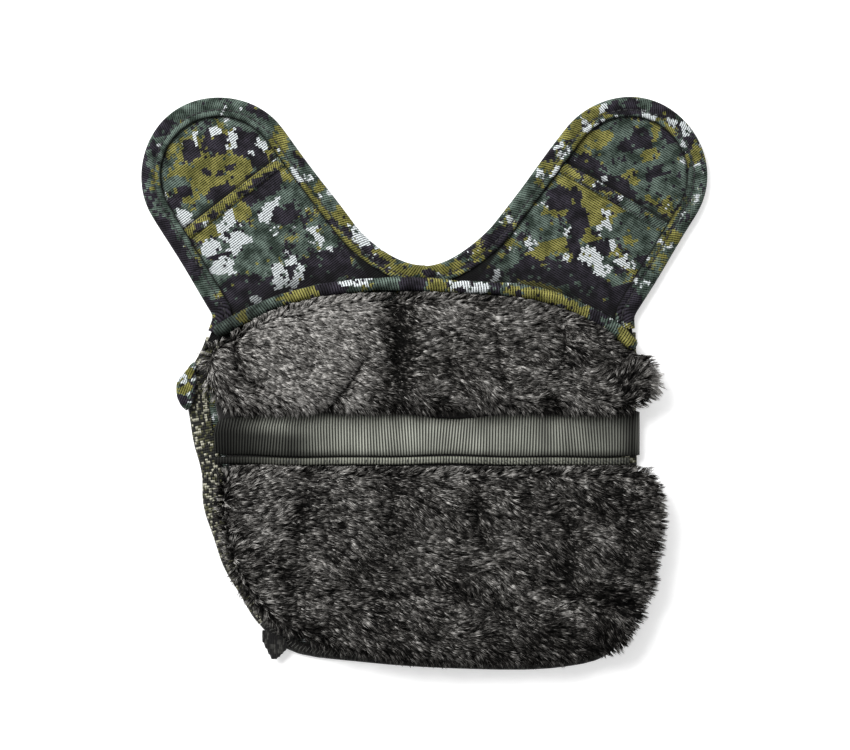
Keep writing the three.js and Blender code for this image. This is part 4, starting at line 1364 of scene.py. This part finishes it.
def brightness(flat):
    """Where the pile catches the light: lighter to the left and middle left, darker to the right."""
    x, y = flat[:, 0], flat[:, 1]
    upper = np.interp(x, *np.transpose(UPPER_LIGHT))
    # Painted light and shade: the upper fur lighter at its top, darker towards the ribbon.
    upper += 0.35 * smooth_step((y - 24) / 12) - 0.3 * smooth_step((-2 - y) / 8)
    lower = np.interp(x, *np.transpose(LOWER_LIGHT))
    # Painted light and shade: the lower fur lighter at its top, darker at its bottom.
    lower += 0.15 * smooth_step((y + 60) / 15) - 0.3 * smooth_step((-104 - y) / 20)
    upper += 2.1 * smooth_step((x - 107) / 6)
    lower += 1.3 * smooth_step((x - 111) / 6)
    level = np.where(y > BETWEEN_FURS, upper, lower) + 0.08
    uneven = np.where(y > BETWEEN_FURS, np.where(x < -18, 0.3, 0.62), 0.68)
    level = level + uneven * waves(flat, 26, 21) + 0.75 * uneven * waves(flat, 9, 22)
    # Painted shade in the creases.
    return level + 0.62 - 1.3 * crease_depth(flat) / 2.6


def pile(piece, count, seed):
    """Strands over a cushion: root, direction and length of each, with the clump it leans into."""
    draw = np.random.default_rng(seed)
    mesh = piece.data
    mesh.calc_loop_triangles()
    corners = np.empty(len(mesh.loop_triangles) * 3, int)
    mesh.loop_triangles.foreach_get("vertices", corners)
    at = places(piece)
    smooth = np.empty(len(mesh.vertices) * 3)
    mesh.vertices.foreach_get("normal", smooth)
    smooth = smooth.reshape(-1, 3)
    a, b, c = (at[corners.reshape(-1, 3)[:, i]] for i in range(3))
    na, nb, nc = (smooth[corners.reshape(-1, 3)[:, i]] for i in range(3))
    area = np.linalg.norm(np.cross(b - a, c - a), axis=1) / 2
    facing_up = (na + nb + nc)[:, 2] / 3
    weight = area * np.where(facing_up > -0.25, 1.0, 0.0) * (a[:, 2] > 6.4)

    def sample(number):
        pick = draw.choice(len(weight), number, p=weight / weight.sum())
        s, t = np.sqrt(draw.random(number)), draw.random(number)
        f, g, h = (1 - s)[:, None], (s * (1 - t))[:, None], (s * t)[:, None]
        normal = f * na[pick] + g * nb[pick] + h * nc[pick]
        return f * a[pick] + g * b[pick] + h * c[pick], normal / np.linalg.norm(normal, axis=1)[:, None]

    root, normal = sample(count)
    knots, knot_normal = sample(count // 5)
    tree = kdtree.KDTree(len(knots))
    for i, knot in enumerate(knots):
        tree.insert(knot, i)
    tree.balance()
    clump = np.array([tree.find(place)[1] for place in root])

    def heading(points, normals, spare):
        turn, lift = lie_of_pile(points[:, :2])
        turn = np.radians(turn + spare)
        comb = np.column_stack([np.cos(turn), np.sin(turn), 0 * turn])
        outward_bend = np.clip(1 - normals[:, 2], 0, 1)[:, None]
        way = comb * (1 - 0.75 * outward_bend) + normals * (lift[:, None] + 0.7 * outward_bend)
        return way / np.linalg.norm(way, axis=1)[:, None]

    knot_way = heading(knots, knot_normal, draw.normal(0, 17, len(knots)))
    knot_long = PILE * draw.uniform(0.72, 1.12, len(knots)) * (1 - 0.12 * crease_depth(knots[:, :2]))
    knot_tip = knots + knot_way * knot_long[:, None]
    way = heading(root, normal, draw.normal(0, 10, count))
    long = knot_long[clump] * draw.uniform(0.75, 1.08, count)
    gather = draw.uniform(0.35, 0.75, count)[:, None]
    tip = (root + way * long[:, None]) * (1 - gather) + knot_tip[clump] * gather
    middle = root + (tip - root) * 0.52 + normal * 0.13 * long[:, None]
    # Each clump's shade number: painted light and shade from brightness, plus uneven tone.
    shade = brightness(knots[:, :2]) + draw.normal(0, 0.9, len(knots))
    return root, middle, tip, shade[clump] + draw.normal(0, 0.75, count)


def strands(name, root, middle, tip, shade, radius=0.145):
    """One mesh of closed three-sided strands, each a root half painted one shade darker, as shade among the roots, and
    a tip half.
    """
    count = len(root)
    down = (tip - root) / np.linalg.norm(tip - root, axis=1)[:, None]
    across = np.cross(down, (0.31, 0.52, 0.8))
    across /= np.linalg.norm(across, axis=1)[:, None]
    other = np.cross(down, across)
    rings = []
    for centre, size in ((root, radius * 0.9), (middle, radius)):
        for k in range(3):
            turn = k * 2 * math.pi / 3
            rings.append(centre + (across * math.cos(turn) + other * math.sin(turn)) * size)
    points = np.stack([*rings, tip], axis=1).reshape(-1, 3)
    faces = [(0, 2, 1)]
    for k in range(3):
        n = (k + 1) % 3
        faces += [(k, n, 3 + n), (k, 3 + n, 3 + k), (3 + k, 3 + n, 6)]
    pattern = np.array(faces)
    every = (pattern[None] + 7 * np.arange(count)[:, None, None]).reshape(-1)
    mesh = bpy.data.meshes.new(name)
    mesh.vertices.add(len(points))
    mesh.vertices.foreach_set("co", (points * MM).ravel())
    mesh.loops.add(len(every))
    mesh.loops.foreach_set("vertex_index", every)
    mesh.polygons.add(len(every) // 3)
    mesh.polygons.foreach_set("loop_start", np.arange(0, len(every), 3))
    mesh.polygons.foreach_set("use_smooth", np.ones(len(every) // 3, bool))
    level = np.clip(np.round(shade), 0, 5).astype(int)
    # Painted shade: the root half takes one shade darker than the tip half.
    root_painted_darker = np.clip(level - 1, 0, 5)
    tips = np.array([len(p) == 3 and 6 in p for p in faces])
    mesh.polygons.foreach_set("material_index", np.where(tips[None], level[:, None], root_painted_darker[:, None]).ravel())
    mesh.update(calc_edges=True)
    piece = bpy.data.objects.new(name, mesh)
    bpy.context.scene.collection.objects.link(piece)
    for fur in fur_shades:
        mesh.materials.append(fur)
    return piece


for label, node, count, cuts in (
    ("upper", "upper_fur_panel", 54000, 3),
    ("lower", "lower_fur_panel", 90000, 5),
):
    cushion = soft_copy(f"{label}_fur_cushion", node, CUSHION_DROP, (3.4, 0.9))
    plumped(cushion, 4.0, 1.2)
    dressed(cushion, painted_shade_backing, "fur")
    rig.ride(cushion, "body")
    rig.replaces(cushion, node)
    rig.padded(cushion, fill=0.45)
    root, middle, tip, shade = pile(cushion, count, 31 + count)
    low, high = (corner.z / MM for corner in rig.box(node))
    top = low + (high - low) * 1.02
    rise = tip[:, 2] - root[:, 2]
    flattened = root[:, 2] + rise * np.minimum(1, (top - root[:, 2]) / np.maximum(rise, 1e-3))
    for points, share in ((tip, 0.8), (middle, 0.6)):  # combed down from the strip above
        if label == "upper":
            limit = np.interp(points[:, 0], roll_line[:, 0], roll_line[:, 1]) - ROLL_HALF - FUR_TOP_INSET
        else:
            limit = LOWER_FUR_TOP
        points[:, 1] -= np.maximum(points[:, 1] - limit, 0) * share
    tip[:, 2] = np.maximum(np.where(tip[:, 2] > top, flattened, tip[:, 2]), LOWEST)
    middle[:, 2] = np.clip(middle[:, 2], LOWEST, top)
    order = np.argsort(root[:, 0])
    for number, chosen in enumerate(np.array_split(order, cuts)):
        strand = (part[chosen] for part in (root, middle, tip, shade))
        part = strands(f"{label}_pile_{number + 1}", *strand)
        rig.ride(part, "body")
        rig.slot(part, "fur")

# ---- Breathing ribbon ---------------------------------------------------------------------------
# A satin grosgrain band, ribbed across, lies over the breathing slot between the two furs. Its
# right end is turned down over the edge; a narrow tape sewn with short stitches runs below it.

RIBBON_LEFT, RIBBON_RIGHT = -104.6, 104.4
RIBBON_LOW = -36.4
RIB_PITCH = 1.45
RIBBON_ENDS_AT = 6.4  # the turned-down end, along the cloth
TAPE_RIGHT = 102.5
# how light the ribbon is, from left to right: its own tone, with painted shadow to the left and on its turned-down end
RIBBON_LIGHT = [(-105, 0.014), (-98, 0.018), (-88, 0.028), (-80, 0.05), (-68, 0.11), (-52, 0.26), (-30, 0.34),
                (30, 0.31), (92, 0.20), (101, 0.06), (104, 0.02), (107.7, 0.09), (110, 0.015)]
ribbon_cloth, shader, flat = new_material("satin_ribbon", 0.6)
shader.inputs["Specular IOR Level"].default_value = 0.15
colour_and_painted_light = flat.node("ShaderNodeAttribute", {"attribute_name": "print"}, {}, 0)
along, across, _ = flat.parts()
fine_rib = along.wave(RIB_PITCH)
thread_noise = flat.node("ShaderNodeTexNoise", {}, {"Vector": flat, "Scale": 1.4, "Detail": 2.0})
# Painted shade between the ribs, over the stored colour.
painted(shader, (fine_rib * 1.1 + thread_noise * 0.4 - 0.12).mix((0.0, 0.0, 0.0), colour_and_painted_light))
bumped(shader, fine_rib, 0.8, 0.0005)


def ribbon_colour_and_painted_light(at):
    """Cream grey-green in the middle, with painted light and shade: olive black to the left from painted shadow,
    darker to the right, painted shade on its turned-down end, a painted highlight high on its left part, a painted
    shadow low on its left part, and painted shade along its folds and at its edges.
    """
    x, y = at[:, 0], at[:, 1]
    level = np.interp(x, *np.transpose(RIBBON_LIGHT))
    painted_highlight = np.exp(-(((x + 76) / 13) ** 2)) * smooth_step((y + 27) / 7)
    painted_dip_shade = 0.55 * np.exp(-(((x + 64) / 9) ** 2)) * smooth_step((-23 - y) / 6)
    level = level * (1 - painted_dip_shade) + 0.2 * painted_highlight
    # Painted light and shade along the ribbon's folds.
    folds = 0.22 * waves(at[:, :2] * (1, 0.15), 16, 41) + 0.15 * waves(at[:, :2] * (1, 0.3), 6, 42)
    level = level * (1 + folds)
    # Painted shade towards both edges, where the pile hangs over.
    edge = smooth_step((y - RIBBON_LOW) / 4) * smooth_step((-14.5 - y) / 3.4)
    level = level * (0.35 + 0.65 * edge)
    return np.column_stack([level * 0.97, level * 1.0, level * 0.86, np.ones(len(at))])


def store_colour_and_painted_light(piece, colours):
    layer = piece.data.attributes.new("print", "FLOAT_COLOR", "POINT")
    layer.data.foreach_set("color", colours.astype(np.float32).ravel())


def ribbon_sway(x):
    return np.sin(x / 19 + 1) * 0.6 + np.sin(x / 8.3) * 0.4


def ribbon_surface(u, v):
    x = RIBBON_LEFT + (RIBBON_RIGHT + RIBBON_ENDS_AT - RIBBON_LEFT) * u
    bent = np.clip((x - RIBBON_RIGHT) / RIBBON_ENDS_AT, 0, 1)
    rounded_end = 1 - np.clip((x - RIBBON_LEFT) / 5, 0, 1)
    high = -15.2 - 1.6 * np.sin(x / 21 + 0.7) - 0.9 * np.sin(x / 9) - 4.2 * rounded_end**2
    low = RIBBON_LOW + 0.3 + 2.2 * rounded_end**2 + 0.7 * ribbon_sway(x)
    y = low + (high - low) * v
    crown = 1 - np.abs(2 * v - 1) ** 3.2
    folded = 0.28 * np.sin(x / 11 + 2.2 * v) + 0.16 * np.sin(x / 4.7 - 1.4 * v)
    lean = (1.3 * np.sin(x / 17) + 0.8 * np.sin(x / 7.1)) * (v - 0.5)
    lean += 3.2 * np.clip((-35 - x) / 40, 0, 1) * np.clip(v - 0.66, 0, 1)
    rib = 0.26 * np.sin((x - lean) * 2 * math.pi / RIB_PITCH)
    z = 6.0 + 1.65 * crown + (folded + rib) * np.clip(crown * 1.5, 0, 1) * (1 - bent)
    x = np.where(bent > 0, RIBBON_RIGHT + 3.6 * np.sin(bent * math.pi / 2), x)
    z = np.where(bent > 0, 1.3 + (z - 1.3) * np.cos(bent * math.pi / 2) ** 0.7, z)
    return np.column_stack([x, y, np.minimum(z, 8.3)]), np.column_stack([u * 215.4 - lean, v * 22])


ribbon = grid("breathing_ribbon_band", 1050, 26, ribbon_surface)
store_colour_and_painted_light(ribbon, ribbon_colour_and_painted_light(places(ribbon)))
solidify(ribbon, 0.5)
dressed(ribbon, ribbon_cloth, "ribbon")
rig.ride(ribbon, "body")
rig.replaces(ribbon, "breathing_ribbon")
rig.sheet(ribbon, flat=(0.216, 0.022), held="stretched")


def tape_surface(u, v):
    x = RIBBON_LEFT + (TAPE_RIGHT - RIBBON_LEFT) * u
    y = -40.5 + 3.7 * v + 0.5 * ribbon_sway(x)
    cords = np.where((x > 26), 0.22 * np.sin((v * 2 + x * 0.35) * 2 * math.pi), 0)
    z = 6.3 + 0.95 * (1 - np.abs(2 * v - 1) ** 4) + cords + 0.1 * np.sin(x / 3.3)
    return np.column_stack([x, y, z]), np.column_stack([u * 207 + 300, v * 4])


stay = grid("ribbon_stay_band", 760, 10, tape_surface)
# The stay band takes the ribbon's colour, painted light and shade included, and is darker.
colours = ribbon_colour_and_painted_light(places(stay) * (1, 0, 1) + (0, -25, 0)) * (0.75, 0.75, 0.72, 1)
store_colour_and_painted_light(stay, colours)
solidify(stay, 0.5)
dressed(stay, ribbon_cloth, "ribbon")
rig.ride(stay, "body")
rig.replaces(stay, "ribbon_stay_tape")
bar_at = np.linspace(-78, 100, 700)
bar_line = np.column_stack([bar_at, -38.6 + 0.5 * ribbon_sway(bar_at), np.full(700, 7.15)])
bars = stitches("stay_tape_stitches", bar_line, dark_thread, 0.5, 2.0, 2.05, lean=78)
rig.ride(bars, "body")

# ---- Cheek fold and chin tab --------------------------------------------------------------------
# Two small leftovers of cloth: the camouflage strip's corner folded out at the left cheek, and a
# short dark webbing loop sewn under the left of the chin.

fold_print = [
    ("white", -121, 2.3, 2.2, 1.8, 0), ("mustard", -117.3, 5.3, 2.6, 2.2, 0),
    ("mustard", -119.3, -2.3, 2.4, 2.4, 0), ("white", -118.3, -5.4, 1.1, 1.0, 0),
    ("white", -115.3, 3.3, 1, 1, 0), ("dark", -121.5, -8.5, 4, 2.2, 0), ("mustard", -119, 9, 2, 1.5, 0),
]


def folded_corner(name, node, amount):
    """A copy of a small CAD fold, remeshed finer and softened, with slow dents."""
    piece = soft_copy(name, node, 0, 0.25)
    smooth = piece.modifiers.new("soft", "SMOOTH")
    smooth.factor, smooth.iterations = 0.6, 6
    bpy.ops.object.modifier_apply(modifier=smooth.name)
    at = places(piece)
    at[:, 2] += amount * np.sin(at[:, 0] / 2.1 + at[:, 1] / 3.2) * (at[:, 2] > at[:, 2].mean())
    piece.data.vertices.foreach_set("co", (at * MM).ravel())
    mesh = piece.data
    corner = np.empty(len(mesh.loops), int)
    mesh.loops.foreach_get("vertex_index", corner)
    while mesh.uv_layers:
        mesh.uv_layers.remove(mesh.uv_layers[0])
    layer = mesh.uv_layers.new(name="UVMap")
    flat = at[:, :2] + at[:, 2:] * (0.5, 0.5)
    layer.uv.foreach_set("vector", (flat[corner] / 100).ravel())
    return piece


fold = folded_corner("left_cheek_folded_corner", "left_cheek_fold", 0.3)
print_on(fold, fold_print)
dressed(fold, camo_strip, "camo_binding")
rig.ride(fold, "body")
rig.replaces(fold, "left_cheek_fold")
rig.padded(fold, fill=0.2)
tab = folded_corner("left_chin_webbing_loop", "chin_tab", 0.2)
dressed(tab, hem_weave, "dark_trim")
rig.ride(tab, "body")
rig.replaces(tab, "chin_tab")
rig.padded(tab, fill=0.2)

# ---- Studio -------------------------------------------------------------------------------------
# The mask lies on a plain pale floor under one soft light from the upper left and two weak ones.
# The camera looks straight down at it.

floor_material, shader, flat = new_material("pale_floor", 0.9)
shader.inputs["Base Color"].default_value = (0.9, 0.9, 0.9, 1)
shader.inputs["Emission Color"].default_value = (1, 1, 1, 1)
shader.inputs["Emission Strength"].default_value = 0.3
bpy.ops.mesh.primitive_plane_add(size=6, location=(0, 0, -0.0003))
floor = bpy.context.object
floor.name = "floor"
floor.data.materials.append(floor_material)
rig.stage(floor)

for name, place, aim, size, power in (
    ("key", (-0.7, 0.7, 0.9), (0, 0, 0), 0.8, 28),
    ("fill", (0.9, -0.4, 1.0), (0, 0, 0), 1.0, 5),
    ("back", (0.1, 1.2, 0.7), (0, 0, 0), 0.9, 5),
):
    bpy.ops.object.light_add(type="AREA", location=place)
    lamp = bpy.context.object
    lamp.name = name
    lamp.data.size = size
    lamp.data.energy = power
    lamp.rotation_euler = (Vector(aim) - Vector(place)).to_track_quat("-Z", "Y").to_euler()

world = bpy.data.worlds.new("studio")
bpy.context.scene.world = world
world.use_nodes = True
world.node_tree.nodes["Background"].inputs["Color"].default_value = (1, 1, 1, 1)
world.node_tree.nodes["Background"].inputs["Strength"].default_value = 0.36
bpy.context.scene.view_settings.view_transform = "Standard"

bpy.ops.object.camera_add(location=(0.0005, 0.00425, 1.0665), rotation=(0, 0, 0))
camera = bpy.context.object
camera.data.lens = 90
camera.data.sensor_width = 36
camera.data.clip_end = 10
bpy.context.scene.camera = camera

visual_size = [list(corner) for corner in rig.bounds()]
with open("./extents.json", "w") as out:
    json.dump({"cad": cad_size, "visual": visual_size}, out)
